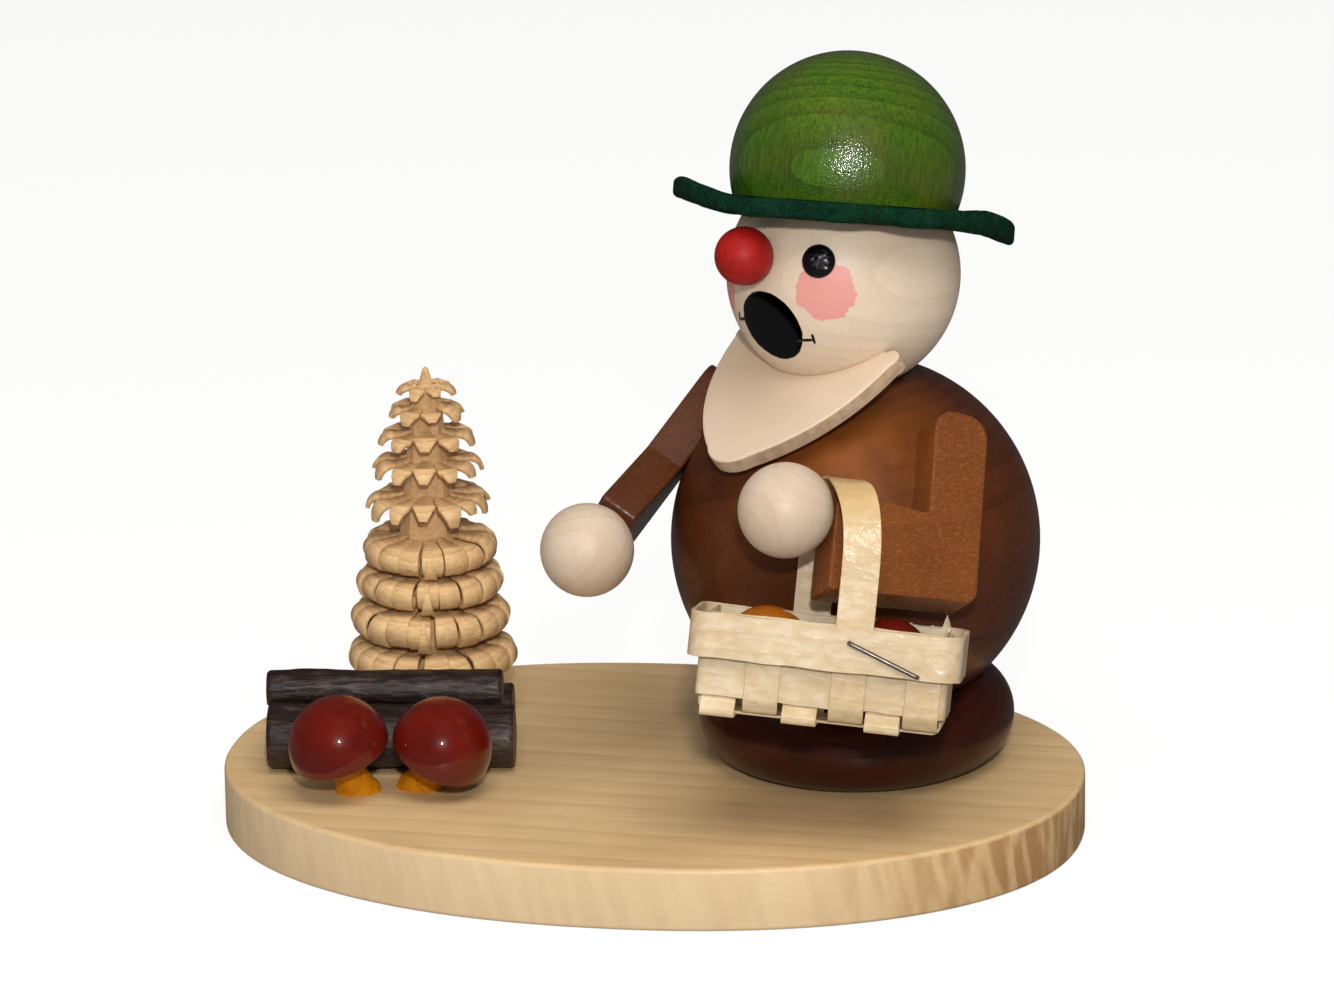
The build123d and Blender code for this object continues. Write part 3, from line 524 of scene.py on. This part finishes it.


# Beard: a leaf sawn from pale board, its inner edge cut to the head, arrises broken; the sawn sides
# are painted darker in patches, as shade under the overhead light.
def through(first, second, third, count):
    """Points of the arc through three points: its centre is where their bisectors meet."""
    first, second, third = points = np.array([first, second, third], float)
    sides = 2 * np.stack([second - first, third - first])
    centre = np.linalg.solve(sides, [second @ second - first @ first, third @ third - first @ first])
    start, between, end = np.degrees(np.arctan2(*(points - centre).T[::-1]))
    between, end = start + (between - start) % 360, start + (end - start) % 360
    if between > end:
        end -= 360
    return arc(centre, np.linalg.norm(first - centre), start, end, count)


beard_wood, tree, shader, stock, colour = pale_wood(
    "pale_sawn_maple_beard", "DDC6AB", "B8936C", (0, 30, 9), (0, 0.03, 0.05), 0.07, 0.25
)
height = add(tree, "SeparateXYZ", {"Vector": stock}).outputs["Z"]
above = add(tree, "MapRange", (height, 0.2, 0.5))
below = add(tree, "MapRange", (height, 2.75, 2.45))
sawn_side = add(tree, "Math", (above, below), operation="MULTIPLY")
# painted shade: the sawn sides are made darker, in patches
shaded_sides = add(tree, "MapRange", (speckle(tree, stock, 2.0), 0.35, 0.65, 0.35, 0.7))
shaded_sides = add(tree, "Math", (sawn_side, shaded_sides), operation="MULTIPLY")
feed(shader, {"Base Color": tint(tree, colour, "96704C", shaded_sides)})

beard_thickness = 2.9
horn_in, horn_end, horn_out = (16.58, 9.80), (19.40, 9.58), (19.62, 12.40)
belly, tip_out, tip = (14.79, 26.60), (5.25, 36.78), (0, 39.2)
half = np.concatenate([
    through(horn_in, horn_end, horn_out, 12)[:-1],
    through(horn_out, belly, tip_out, 40)[:-1],
    through(tip_out, tip, (-tip_out[0], tip_out[1]), 24)[:12],
])
leaf = np.concatenate([half, half[::-1] * (-1, 1), arc((0, -1.1), 19.15, 145.3, 34.7, 60)])
leaf = np.stack([leaf[:, 1], -leaf[:, 0]], -1)
beard_place = head_place @ placed(("Y", 47.9), ("Z", -3.2), (1.1, 0, -5.2 - beard_thickness))
beard = surface("sawn_beard", sawn(leaf, beard_thickness, 0.4), beard_place, [beard_wood], caps=True)
settle(beard, "figure", "pale_wood", "beard_board")


# Hat brim: a disc of dyed wool felt, glued under the crown, one end curled up, the other drooping.
# Its short fibres swallow the light.
def ease(share):
    """Smooth step: 3 s squared - 2 s cubed, with s held between 0 and 1."""
    share = np.clip(share, 0, 1)
    return share**2 * (3 - 2 * share)


felt, tree, shader, stock = coating("green_wool_felt", roughness=0.95, specular_ior_level=0.1)
fibres = speckle(tree, stock, 0.45, (1, 1, 1), 5.0)
tufts = add(tree, "Math", (speckle(tree, stock, 2.5), 0.4), operation="MULTIPLY")
mingled = add(tree, "Math", (fibres, 0.6, tufts), operation="MULTIPLY_ADD")
bump = add(tree, "Bump", {"Height": fibres, "Strength": 0.9, "Distance": 0.0006})
feed(shader, {"Base Color": tint(tree, "062013", "0E3624", mingled, 0.38, 0.62), "Normal": bump})

brim_radius, brim_thickness, felt_edge = 29.3, 3.0, 1.0
inset = brim_radius - felt_edge
run = np.linspace(4, inset - 0.1, 26)
below, above = np.stack([run, 0 * run], -1), np.stack([run[::-1], 0 * run + brim_thickness], -1)
under_edge = arc((inset, felt_edge), felt_edge, -90, 0, 5)
over_edge = arc((inset, brim_thickness - felt_edge), felt_edge, 0, 90, 5)
disc = turned([(0, 0), *below, *under_edge, *over_edge, *above, (0, brim_thickness)], 200)
disc[..., :2] *= 1 + 0.006 * ripple(disc * (1, 1, 0), 7, 3)[..., None]
along = disc[..., 0]
curl = 2.5 * ease((-along - 19.0) / 10.3) - 1.5 * ease((along - 23.0) / 6.2)
thicker_below = -0.6 * ease((along - 19.0) / 6.0) - 0.5 * ease((-along - 19.0) / 8.0)
thicker_above = 0.35 * ease((along - 20.0) / 4.0)
curl += np.where(disc[..., 2] < brim_thickness / 2, thicker_below, thicker_above)
loose = ease((np.hypot(disc[..., 0], disc[..., 1]) - 20) / 9)
disc[..., 2] += 0.05 + curl + 0.35 * loose * ripple(disc, 11, 8)
brim = surface("felt_brim", disc, hat_place, [felt], crease=60)
settle(brim, "figure", "green_felt", "hat_brim")

# Crown: a turned ball cut flat, stained bright green under gloss lacquer; the stain turns olive
# where the wood is dense, and fine upright lines and grit show under the shine.
crown_wood, tree, shader, stock, colour = timber(
    "green_stained_gloss_beech", "487713", "284609", 1.7, (5, -4, 0), (0, 1.57, 0), 0.6, 0.3, 0.16, 0.5,
    roughness=0.36, specular_ior_level=0.3, coat_weight=1.0, coat_roughness=0.11,
)
dense = add(tree, "Math", (speckle(tree, stock, 12.0, (1, 1, 1.6), 2.0), 2.6), operation="POWER")
colour = tint(tree, colour, "625C15", dense, 0.0, 1 / 1.3)
colour = tint(tree, colour, "1F3608", speckle(tree, stock, 0.45, (1, 1, 0.1)), 0.42, 0.66, 0.0, 0.5)
grit = speckle(tree, stock, 0.4, (1, 1, 1), 2.0)
bump = add(tree, "Bump", {"Height": grit, "Strength": 1.0, "Distance": 0.0001})
feed(shader, {"Base Color": colour, "Normal": bump, "Coat Normal": bump})

crown_profile = [(0, 0), (18.9, 0), *arc((0, 5.9), 20.15, -16.6, 90, 90)]
crown_place = hat_place @ placed((0, 0, brim_thickness + 0.1))
crown = surface("turned_crown", turned(crown_profile, 192), crown_place, [crown_wood])
settle(crown, "figure", "green_stain", "hat_crown")


# Arms: sawn from stained board with arrises broken, glued flat on the body; the sparkle of the
# lacquer in the open pores is painted as lighter specks, and the right arm is painted darker as shade.
# Hands: bought balls, glued in a hollow of the cuff.
def rounded(corners, radii, steps=7, closed=True):
    """Points of an outline whose corners are arcs that touch both sides.

    At each corner the arc's centre lies on the bisector, radius / sin(half angle) away. Between its
    ends, s = 0 and 1 of the sweep a: centre + (sin((1 - s) a) start + sin(s a) end) / sin a.
    """
    corners, radii = np.asarray(corners, float), np.asarray(radii, float)[:, None]
    before, after = unit(np.roll(corners, 1, 0) - corners), unit(np.roll(corners, -1, 0) - corners)
    half = np.arccos(np.clip(np.sum(before * after, -1, keepdims=True), -1, 1)) / 2
    centre = corners + unit(before + after) * radii / np.sin(half)
    start = corners + before * radii / np.tan(half) - centre
    end = corners + after * radii / np.tan(half) - centre
    sweep = (np.pi - 2 * half)[:, None]
    share = np.linspace(0, 1, steps)[None, :, None]
    swung = np.sin((1 - share) * sweep) * start[:, None] + np.sin(share * sweep) * end[:, None]
    bends = centre[:, None] + swung / np.sin(sweep)
    if closed:
        return bends.reshape(-1, corners.shape[1])
    return np.concatenate([corners[:1], bends[1:-1].reshape(-1, corners.shape[1]), corners[-1:]])


half_sleeve, shoulder, crook, forearm, crook_depth, cuff = 5.0, 10.3, 9.2, 17.17, 15.4, 18.4
arm_thickness, hand_radius, hand_out, hand_down = 7.0, 8.0, 24.77, 5.3


def arm_shape(upper_angle, fore_angle):
    """Outline of an arm in (ahead, up), and the middle of its hand.

    Corners lie along the upper arm and the forearm; the elbow's is where the upper arm's back meets
    the line under the forearm, by their cross products.
    """
    drop = np.array([math.cos(math.radians(upper_angle)), -math.sin(math.radians(upper_angle))])
    front = np.array([-drop[1], drop[0]])
    reach = np.array([math.cos(math.radians(fore_angle)), math.sin(math.radians(fore_angle))])
    over = np.array([-reach[1], reach[0]])
    notch, rear = crook * drop + half_sleeve * front, -half_sleeve * front
    under, wrist = notch - crook_depth * over, notch + forearm * reach
    low = wrist - cuff * over
    elbow = rear + np.cross(under - rear, low - under) / np.cross(drop, low - under) * drop
    corners = [half_sleeve * front - shoulder * drop, notch, wrist, low, elbow, rear - shoulder * drop]
    return rounded(corners, [4, 0.9, 0.9, 0.9, 2.4, 4]), notch + hand_out * reach - hand_down * over


hand_wood = pale_wood(
    "pale_turned_maple_hand", "D3BFA8", "AF8C69", (3, 2, 0), (0.4, 1.2, 0), 0.16, 0.3
)[0]
# painted shade: the right arm gets darker colours; the last value scales grit bumps and painted glints
for name, side, angles, pale, dark, rough in (
    ("left", 1, (66.0, 25.5), "7E451C", "4C240D", 1.0),
    ("right", -1, (51.0, -18.4), "60341D", "3A1C0E", 0.3),
):
    arm_wood, tree, shader, stock, colour = timber(
        f"brown_stained_sawn_beech_{name}", pale, dark, 5.0, (0, 40, 8), (0, 0.05, 0.1),
        0.15, 0.4, 0.3, 0.45, roughness=0.4, specular_ior_level=0.3, coat_weight=0.5, coat_roughness=0.12,
    )
    pore_glints = speckle(tree, stock, 0.5, (0.5, 1, 1), 4.0)
    grit = speckle(tree, stock, 0.4, (0.6, 1, 1))
    bump = add(tree, "Bump", {"Height": grit, "Strength": 1.0, "Distance": 0.00024 * rough})
    # painted glints: lighter specks in the pores
    colour = tint(tree, colour, "A86A34", pore_glints, 0.5, 0.75, 0.0, 0.4 * rough)
    feed(shader, {"Base Color": colour, "Normal": bump, "Coat Normal": bump})
    outline, hand = arm_shape(*angles)
    flat = figure_place @ placed(("Z", side * 70), ("Y", -32), (30.85, 0, 0))
    grid = sawn(outline * (-side, 1), arm_thickness, 0.45)
    arm = surface(f"sawn_arm_{name}", grid, flat @ placed(("Z", 90), ("X", 90)), [arm_wood], caps=True)
    settle(arm, "figure", "brown_stain_arm", f"arm_{name}")
    hand_spot = (arm_thickness / 2, -side * hand[0], hand[1])
    hand_place = flat @ placed(hand_spot, ("Z", 35 * side), ("Y", 40))
    ball = turned(arc((0, 0), hand_radius, -90, 90, 60), 112)
    ball *= 1 + 0.002 * ripple(ball, 6, 20 + side)[..., None]
    palm = surface(f"turned_hand_{name}", ball, hand_place, [hand_wood])
    settle(palm, "figure", "pale_wood", f"hand_{name}")


# Twigs: cut from a hedge with their bark on, dry; the bark has low lumps, and its raised parts are
# lighter grey, its own grey with a painted sheen; the cut ends show brown wood.
def twig(length, thick, thin, seed):
    """Grid of a twig along X: radius from thick to thin, times 1 + bark noise, ends cut square."""
    along = np.linspace(-length / 2, length / 2, 90)
    radius = np.interp(along, (-length / 2, length / 2), (thick, thin))
    stick = np.roll(turned(np.stack([radius, along], -1), 72), 1, -1)
    lumps = 0.16 * ripple(stick * (0.35, 1, 1), 6, seed) + 0.05 * ripple(stick * (0.3, 1, 1), 1.4, seed + 1)
    off = unit(stick * (0, 1, 1))
    stick = stick + off * (lumps - 0.08)[..., None]
    stick[[0, -1]] -= 0.3 * off[[0, -1]]
    shrunk = np.array([(1, 0, 0), (1, 0.5, 0.5)])[:, None]
    return np.concatenate([stick[:1] * shrunk, stick, stick[-1:] * shrunk[::-1]])


bark, tree, shader, stock = coating("dry_hazel_bark", roughness=0.5, coat_weight=0.15, coat_roughness=0.3)
furrow = speckle(tree, stock, 0.8, (0.25, 1, 1), 5.0)
scales = add(tree, "Math", (speckle(tree, stock, 5.0, (0.3, 1, 1)), 0.45), operation="MULTIPLY")
depth = add(tree, "Math", (furrow, 0.55, scales), operation="MULTIPLY_ADD")
colour = tint(tree, "140D0A", "2A1B15", depth, 0.36, 0.53)
bump = add(tree, "Bump", {"Height": furrow, "Strength": 0.7, "Distance": 0.0006})
# painted sheen: the raised bark turns lighter grey
feed(shader, {"Base Color": tint(tree, colour, "54423A", depth, 0.53, 0.7), "Normal": bump})
cut_wood = timber("cut_twig_wood", "8A6A4A", "4E3828", 0.8, (0, 0, 0), (0, 0, 0), 0.5, roughness=0.7)[0]

log_thick, log_thin, top_thick, top_thin, log_gap = 5.7, 5.45, 3.55, 3.2, 12.2
logs = placed((-44.2, -9.7, board_top), ("Z", 8.3))
top_rise = math.sqrt((log_thin + top_thick + 0.05) ** 2 - (log_gap / 2) ** 2)
for name, length, thick, thin, shift, seed in (
    ("front", 42.7, log_thick, log_thin, placed((0, 0, log_thick)), 31),
    ("rear", 39.4, log_thick, log_thin, placed((0.7, log_gap, log_thick)), 37),
    ("top", 41.0, top_thick, top_thin, placed((-1.5, log_gap / 2, log_thick + top_rise), ("Z", 180)), 43),
):
    stick = twig(length, thick, thin, seed)
    cut_rows = [0, 1, len(stick) - 3, len(stick) - 2]
    shades = np.isin(np.arange(len(stick) - 1), cut_rows).astype(np.int32)
    piece = surface(f"twig_{name}", stick, logs @ shift, [bark, cut_wood], shades=shades)
    settle(piece, "base", "twig_bark", f"log_{name}")


# Mushrooms on the board and in the basket: turned caps in red or orange gloss lacquer, which runs
# to a bead at the rim, on yellow stained stems.
def gloss_paint(name, deep, bright):
    """Opaque gloss lacquer with a slight unevenness in its colour and long waves in its skin."""
    paint, tree, shader, stock = coating(
        name, roughness=0.3, specular_ior_level=0.1, coat_weight=0.8, coat_roughness=0.03
    )
    waves = speckle(tree, stock, 3.0, (1, 1, 1), 1.0)
    bump = add(tree, "Bump", {"Height": waves, "Strength": 0.05, "Distance": 0.0002})
    colour = tint(tree, deep, bright, speckle(tree, stock, 5.0), 0.3, 0.7)
    feed(shader, {"Base Color": colour, "Coat Normal": bump})
    return paint


red_paint = gloss_paint("dark_red_gloss_lacquer", "52100A", "661408")
orange_paint = gloss_paint("orange_gloss_lacquer", "8A460A", "B4640E")
# Yellow stain, hardly lacquered: one strong colour, a weak shine.
stem_wood = timber(
    "yellow_stained_stem", "D98C08", "A85A04", 1.2, (1, 1, 0), (0, 1.5, 0), 0.4, 0.3, 0.2, 0.25,
    roughness=0.5, specular_ior_level=0.2, coat_weight=0.1, coat_roughness=0.2,
)[0]


def mushroom(name, node, body, place, stem_profile, cap_profile, paint, slot):
    """Stem and cap of one turned mushroom."""
    stem = surface(f"{name}_stem", turned(stem_profile, 64), place, [stem_wood])
    settle(stem, body, "mushroom_stem", node.replace("*", "stem"))
    cap = surface(f"{name}_cap", turned(cap_profile, 112), place, [paint], crease=60)
    settle(cap, body, slot, node.replace("*", "cap"))


def dome(radius, height, base):
    """Profile of a cap: spherical segment on a short lip, its underside slightly hollow.

    The sphere through rim and top has the radius (radius squared + height squared) / (2 height).
    """
    ball = (radius**2 + height**2) / (2 * height)
    rim_angle = math.degrees(math.asin(1 - height / ball))
    upper = arc((0, base + height - ball), ball, rim_angle, 90, 40)
    bead = arc((radius - 0.3, base - 0.25), 0.32, -120, 0, 6)
    return [(0, base - 0.3), (radius * 0.4, base - 0.25), *bead, *upper]


for side, x, y, lean in (("left", -47.6, -22.6, -12.0), ("right", -36.9, -19.0, 26.0)):
    place = placed((x, y, board_top), ("X", 20.5), ("Y", lean))
    tenon, flare = [(3, 9.2), (1.5, 9.2), (1.5, 12), (0, 12)], [(4.1, -0.4), (3.5, 1.1), (3, 2.8)]
    stem = [(0, -3.4), (4.1, -3.4), *flare, *tenon]
    cap = dome(8.7, 8.9, 9.8)
    mushroom(f"mushroom_{side}", f"mushroom_*_{side}", "base", place, stem, cap, red_paint, "mushroom_red")


# Basket: thin chips of spruce woven wet, so that they keep the bends; edges are torn a little. The
# split face is wavy and shines in patches, and the chips are golden where the hand holds them.
chips = []
for name, pale, dark, heart, tilt, along in (
    ("split_spruce_chip", "DAC5A2", "A98954", (0, 30, 22), (0, 0.04, 0.03), 0.12),
    ("split_spruce_chip_across", "DCC59F", "A98650", (30, 0, 22), (0, 0, 0), 0.8),
):
    wood, tree, shader, stock, colour = timber(
        name, pale, dark, 2.6, heart, tilt, 0.2, 0.9, along, 0.5,
        roughness=0.45, coat_weight=0.5, coat_roughness=0.26,
    )
    wavy = speckle(tree, stock, 1.3, (0.5, 1, 0.8), 4.0)
    bump = add(tree, "Bump", {"Height": wavy, "Strength": 1.0, "Distance": 0.00025})
    colour = tint(tree, colour, "BC9458", wavy, 0.48, 0.75, 0.0, 0.4)
    colour = tint(tree, colour, "EFE3CB", wavy, 0.5, 0.28, 0.0, 0.25)
    height = add(tree, "SeparateXYZ", {"Vector": stock}).outputs["Z"]
    colour = tint(tree, colour, "C29A55", height, 24.0, 34.0, 0.0, 0.55)
    feed(shader, {"Base Color": colour, "Coat Normal": bump})
    chips.append(wood)
chip, chip_across = chips


def strip(path, across, width, thickness, closed=False, break_edge=0.1):
    """Grid of a chip along a path: path + across u + normal v for the eight corners (u, v)."""
    path = np.asarray(path, float)
    ahead, behind = np.roll(path, -1, -2), np.roll(path, 1, -2)
    if not closed:
        ahead[..., -1, :], behind[..., 0, :] = path[..., -1, :], path[..., 0, :]
    way = unit(ahead - behind)
    across = np.asarray(across, float) + 0 * path
    across = unit(across - way * np.sum(across * way, -1, keepdims=True))
    normal = np.cross(way, across)
    side = np.array([1, 1, -1, -1, -1, -1, 1, 1])
    face = np.array([1, 1, 1, 1, -1, -1, -1, -1])
    broken_side = break_edge * np.array([0, 1, 1, 0, 0, 1, 1, 0])
    u = side * (width / 2 + 0 * path[..., :1] - broken_side)
    v = face * (thickness / 2 - (break_edge - broken_side))
    return path[..., None, :] + across[..., None, :] * u[..., None] + normal[..., None, :] * v[:, None]


half_length, half_width, basket_height, chip_thickness = 22.8, 10.5, 17.2, 0.5
crest = (39.119, -29.178, 70.525)
basket_place = placed(crest, ("Z", 5), ("X", -13), ("Y", 5.3), (-0.3, 0.3, -39.3))
wall = [1.1 + layer * 0.55 for layer in range(4)]
weaver_bottom, top = 3.3, basket_height - 0.6
outer, inner = half_width - wall[1], half_width - wall[3]
for number, share in enumerate((-0.738, -0.43, -0.14, 0.195, 0.465, 0.738)):
    if number % 2:
        side = [(outer, top), (outer, weaver_bottom), (inner, 1.35)]
        bends = [0.4, 1.4, 1.2]
    else:
        side = [(inner, top), (inner, weaver_bottom), (outer, 1.35), (outer, 0.25)]
        bends = [0.4, 1.2, 0.5, 0.5]
    corners = [(0, y, z) for y, z in side] + [(0, -y, z) for y, z in side[::-1]]
    line = rounded(corners, bends + bends[::-1], 6, closed=False) + (share * half_length, 0, 0)
    grid = strip(line, (1, 0, 0), 5.8, chip_thickness)
    piece = surface(f"chip_splint_{number + 1}", grid, basket_place, [chip_across], caps=True)
    settle(piece, "basket", "chip_wood", f"basket_splint_{number + 1}")
for number in range(3):
    end = half_length - wall[3]
    corners = [(end, 0, top), (end, 0, 0.8), (-end, 0, 0.8), (-end, 0, top)]
    line = rounded(corners, [0.4, 1.4, 1.4, 0.4], 8, closed=False) + (0, (number - 1) * 4.15, 0)
    grid = strip(line, (0, 1, 0), 4.1, chip_thickness)
    piece = surface(f"chip_runner_{number + 1}", grid, basket_place, [chip], caps=True)
    settle(piece, "basket", "chip_wood", f"basket_runner_{number + 1}")


def hoop(name, node, inset, thickness, bottom, tall, seed, torn=0.1):
    """Chip band round the basket: a rounded oblong, its edges wavering a little.

    Its top edge stands up in splinters at the back right end: torn times the square of the noise
    above a threshold.
    """
    x, y = half_length - inset - thickness / 2, half_width - inset - thickness / 2
    corner = max(3.2 - inset, 1.5 * thickness) - thickness / 2
    ring = rounded([(x, -y), (x, y), (-x, y), (-x, -y)], [corner] * 4, 9)
    ring = np.concatenate([ring, ring[:1]])
    gone = np.concatenate([[0], np.cumsum(np.linalg.norm(np.diff(ring, axis=0), axis=1))])
    at = np.arange(0, gone[-1], 0.35)
    x, y = np.interp(at, gone, ring[:, 0]), np.interp(at, gone, ring[:, 1])
    line = np.stack([x, y, 0 * at + bottom + tall / 2], -1)
    grid = strip(line, (0, 0, 1), tall, thickness, closed=True)
    grid[..., 2] += 0.12 * ripple(grid, 9, seed)
    splinter = np.maximum(ripple(line, 1.3, seed + 9) - 0.1, 0) ** 2
    splinter *= ease((x - 11) / 5) * (y > 0)
    grid[:, [0, 1, 6, 7], 2] += torn * splinter[:, None]
    piece = surface(name, grid, basket_place, [chip], wrap=True)
    settle(piece, "basket", "chip_wood", node)


rim_height = 7.5
rim_bottom = basket_height - rim_height
hoop("chip_weaver", "basket_weaver", wall[2] - 0.25, chip_thickness, weaver_bottom, 7.7, 51)
hoop("chip_rim", "basket_rim", 0, 0.8, rim_bottom, rim_height, 52)
hoop("chip_inner_rim", "basket_inner_rim", wall[3] + 0.3, 0.6, rim_bottom, rim_height, 53, 1.3)

# Handle: one chip bent over the forearm, tucked behind the rim and stapled. Its arch is a
# superellipse that shifts along the basket from the front leg to the back one.
front_leg, back_leg, tucked = 4.6, -4.0, basket_height - 6.5
leg, spring, power = half_width - wall[0], 23.2, 2 / 3.2
arch = basket_height + 22.1 + 1.05 + 0.25 - spring
share = np.linspace(0, 1, 49)
along = -np.cos(np.pi * share)
y = leg * np.sign(along) * np.abs(along) ** power
z = spring + arch * np.maximum(1 - along**2, 0) ** (power / 2)
bend = np.stack([front_leg + (back_leg - front_leg) * ease(share), y, z], -1)
rise = np.linspace(tucked, spring, 8, endpoint=False)
fall = np.linspace(spring, tucked, 9)[1:]
line = np.concatenate([
    np.stack([0 * rise + front_leg, 0 * rise - leg, rise], -1), bend,
    np.stack([0 * fall + back_leg, 0 * fall + leg, fall], -1),
])
grid = strip(line, (1, 0, 0), 6.3, chip_thickness)
piece = surface("chip_handle", grid, basket_place, [chip_across], caps=True)
settle(piece, "basket", "chip_wood", "basket_handle")

# Staples: drawn steel wire, bent to a crown and two prongs and driven aslant through rim, handle
# and splints.
half_crown, prong, wire_radius, slope = 6.3, 3.4, 0.4, 20.7
wire = rounded(
    [(-half_crown, prong, 0), (-half_crown, 0, 0), (half_crown, 0, 0), (half_crown, prong, 0)],
    [0.2, 0.5, 0.5, 0.2], 6, closed=False,
)
for name, side, x in (("front", -1, front_leg), ("back", 1, back_leg)):
    shift = half_crown * math.cos(math.radians(slope)) - 0.6
    spot = (x - side * shift, side * 10.9, basket_height - rim_height / 2 - 1.0)
    place = basket_place @ placed(spot, ("Z", 0 if side < 0 else 180), ("Y", slope))
    grid = tube(wire, (0, 0, 1), wire_radius)
    piece = surface(f"wire_staple_{name}", grid, place, [metals["drawn_steel"]], caps=True)
    settle(piece, "basket", "steel_wire", f"basket_staple_{name}")

for side, x, paint, slot in (
    ("left", -10.2, orange_paint, "mushroom_orange"), ("right", 10.1, red_paint, "mushroom_red")
):
    place = basket_place @ placed((x, 0, 1.7))
    stem = [(0, 0), (3.1, 0), (2.5, 6.5), (2.5, 13), (1.2, 13), (1.2, 14.5), (0, 14.5)]
    cap = dome(6.4, 3.8, 13.1)
    mushroom(f"basket_mushroom_{side}", f"basket_*_{side}", "basket", place, stem, cap, paint, slot)


# Shaving tree: carved from one stick of lime, unfinished, so it is pale and matt. Each tier is a ring
# of shavings split by the knife and rolled over and under themselves; the upper ones only droop.
def spun(points, turn):
    """Points turned about Z: x cos - y sin, x sin + y cos, z."""
    x, y, z = np.moveaxis(points, -1, 0)
    return np.stack([x * np.cos(turn) - y * np.sin(turn), x * np.sin(turn) + y * np.cos(turn), z], -1)


tree_wood = timber(
    "carved_lime_shavings", "E6C08A", "96602F", 1.4, (3, 2, 0), (0, 1.57, 0), 0.3, 0.5, 0.3, 0.3,
    roughness=0.6, coat_weight=0.05,
)[0]
rng = np.random.default_rng(77)
tree_place = placed((-43.7, 21, board_top))
shares = np.array([0, 0.15, 0.288, 0.415, 0.575, 0.71, 0.82, 0.92, 1])
counts = (19, 19, 18, 17, 13, 11, 9, 8, 7)
cores, lifts = 2.6 + 5.0 * (1 - shares), 10.7 + 48 * shares
for number, (share, count, core, lift) in enumerate(zip(shares, counts, cores, lifts)):
    plump = number < 4
    outer = 5.1 + 9.8 * (1 - share) ** 0.65
    roll = 1.9 + 1.35 * (1 - share)
    sweep = 262 if plump else 118 - 30 * share
    fullness = 1.02 if plump else 0.97 - 0.16 * (share - 0.5)
    one = (count, 1)
    reach = outer * fullness - roll + rng.uniform(-0.2, 0.25, one)
    turns = np.radians(sweep * rng.uniform(0.85, 1.1, one))
    radius = roll - 0.4 + rng.uniform(-0.35, 0.12, one)
    around = np.linspace(0, 1, 22)[None]
    angle = np.pi / 2 - turns * around
    curl = radius * (1 - 0.3 * around if plump else 1 + 0.5 * around)
    out = np.linspace(0, 1, 7)[None, :-1]
    flat_x = core - 0.8 + (reach - core + 0.8) * out
    flat_z = radius + 0.5 * (1 - out) ** 2 + 0 * reach
    run = np.concatenate([flat_x, reach + curl * np.cos(angle)], 1)
    height = np.concatenate([flat_z, curl * np.sin(angle)], 1) + rng.uniform(-0.25, 0.25, one)
    width = 2 * (run * math.tan(math.pi / count) - rng.uniform(0.12, 0.3, one))[..., None]
    taper = np.concatenate([np.ones(12), np.linspace(1, 0.8 if plump else 0.3, 16)])[None, :, None]
    line = np.stack([run, 0 * run, height], -1)
    grid = strip(line, (0, 1, 0), width * taper, 0.8, break_edge=0.12)
    spin = (np.arange(count) + number % 2 / 2) * 2 * np.pi / count + rng.uniform(-0.03, 0.03, count)
    grid = spun(grid, spin[:, None, None])
    if 0 < number < 4:
        # one pointed blade, split off thin, lies on the curls on the camera's side
        climb = np.radians(np.linspace(-60, 65, 28))
        on_curls = (roll + 0.1) * np.stack([np.cos(climb), 0 * climb, np.sin(climb)], -1)
        line = (reach[0, 0], 0, 0) + on_curls
        blade = strip(line, (0, 1, 0), np.linspace(2.4, 0.25, 28)[:, None], 0.5, break_edge=0.05)
        grid = np.concatenate([grid, spun(blade, math.radians(-86 + 3 * number))[None]])
    grid += (0, 0, lift)
    tier = surface(f"shaving_tier_{number + 1}", grid, tree_place, [tree_wood], caps=True, crease=50)
    settle(tier, "base", "tree_wood", *(("shaving_tree",) if number == 0 else ()))

radii, levels = (0, cores[0], *cores, 1.4, 0.5, 0), (0, 0, *lifts, 60.5, 63.4, 63.8)
grid = turned(np.stack([radii, levels], -1), 9)
spindle = surface("carved_spindle", grid, tree_place, [tree_wood], crease=15)
settle(spindle, "base", "tree_wood")
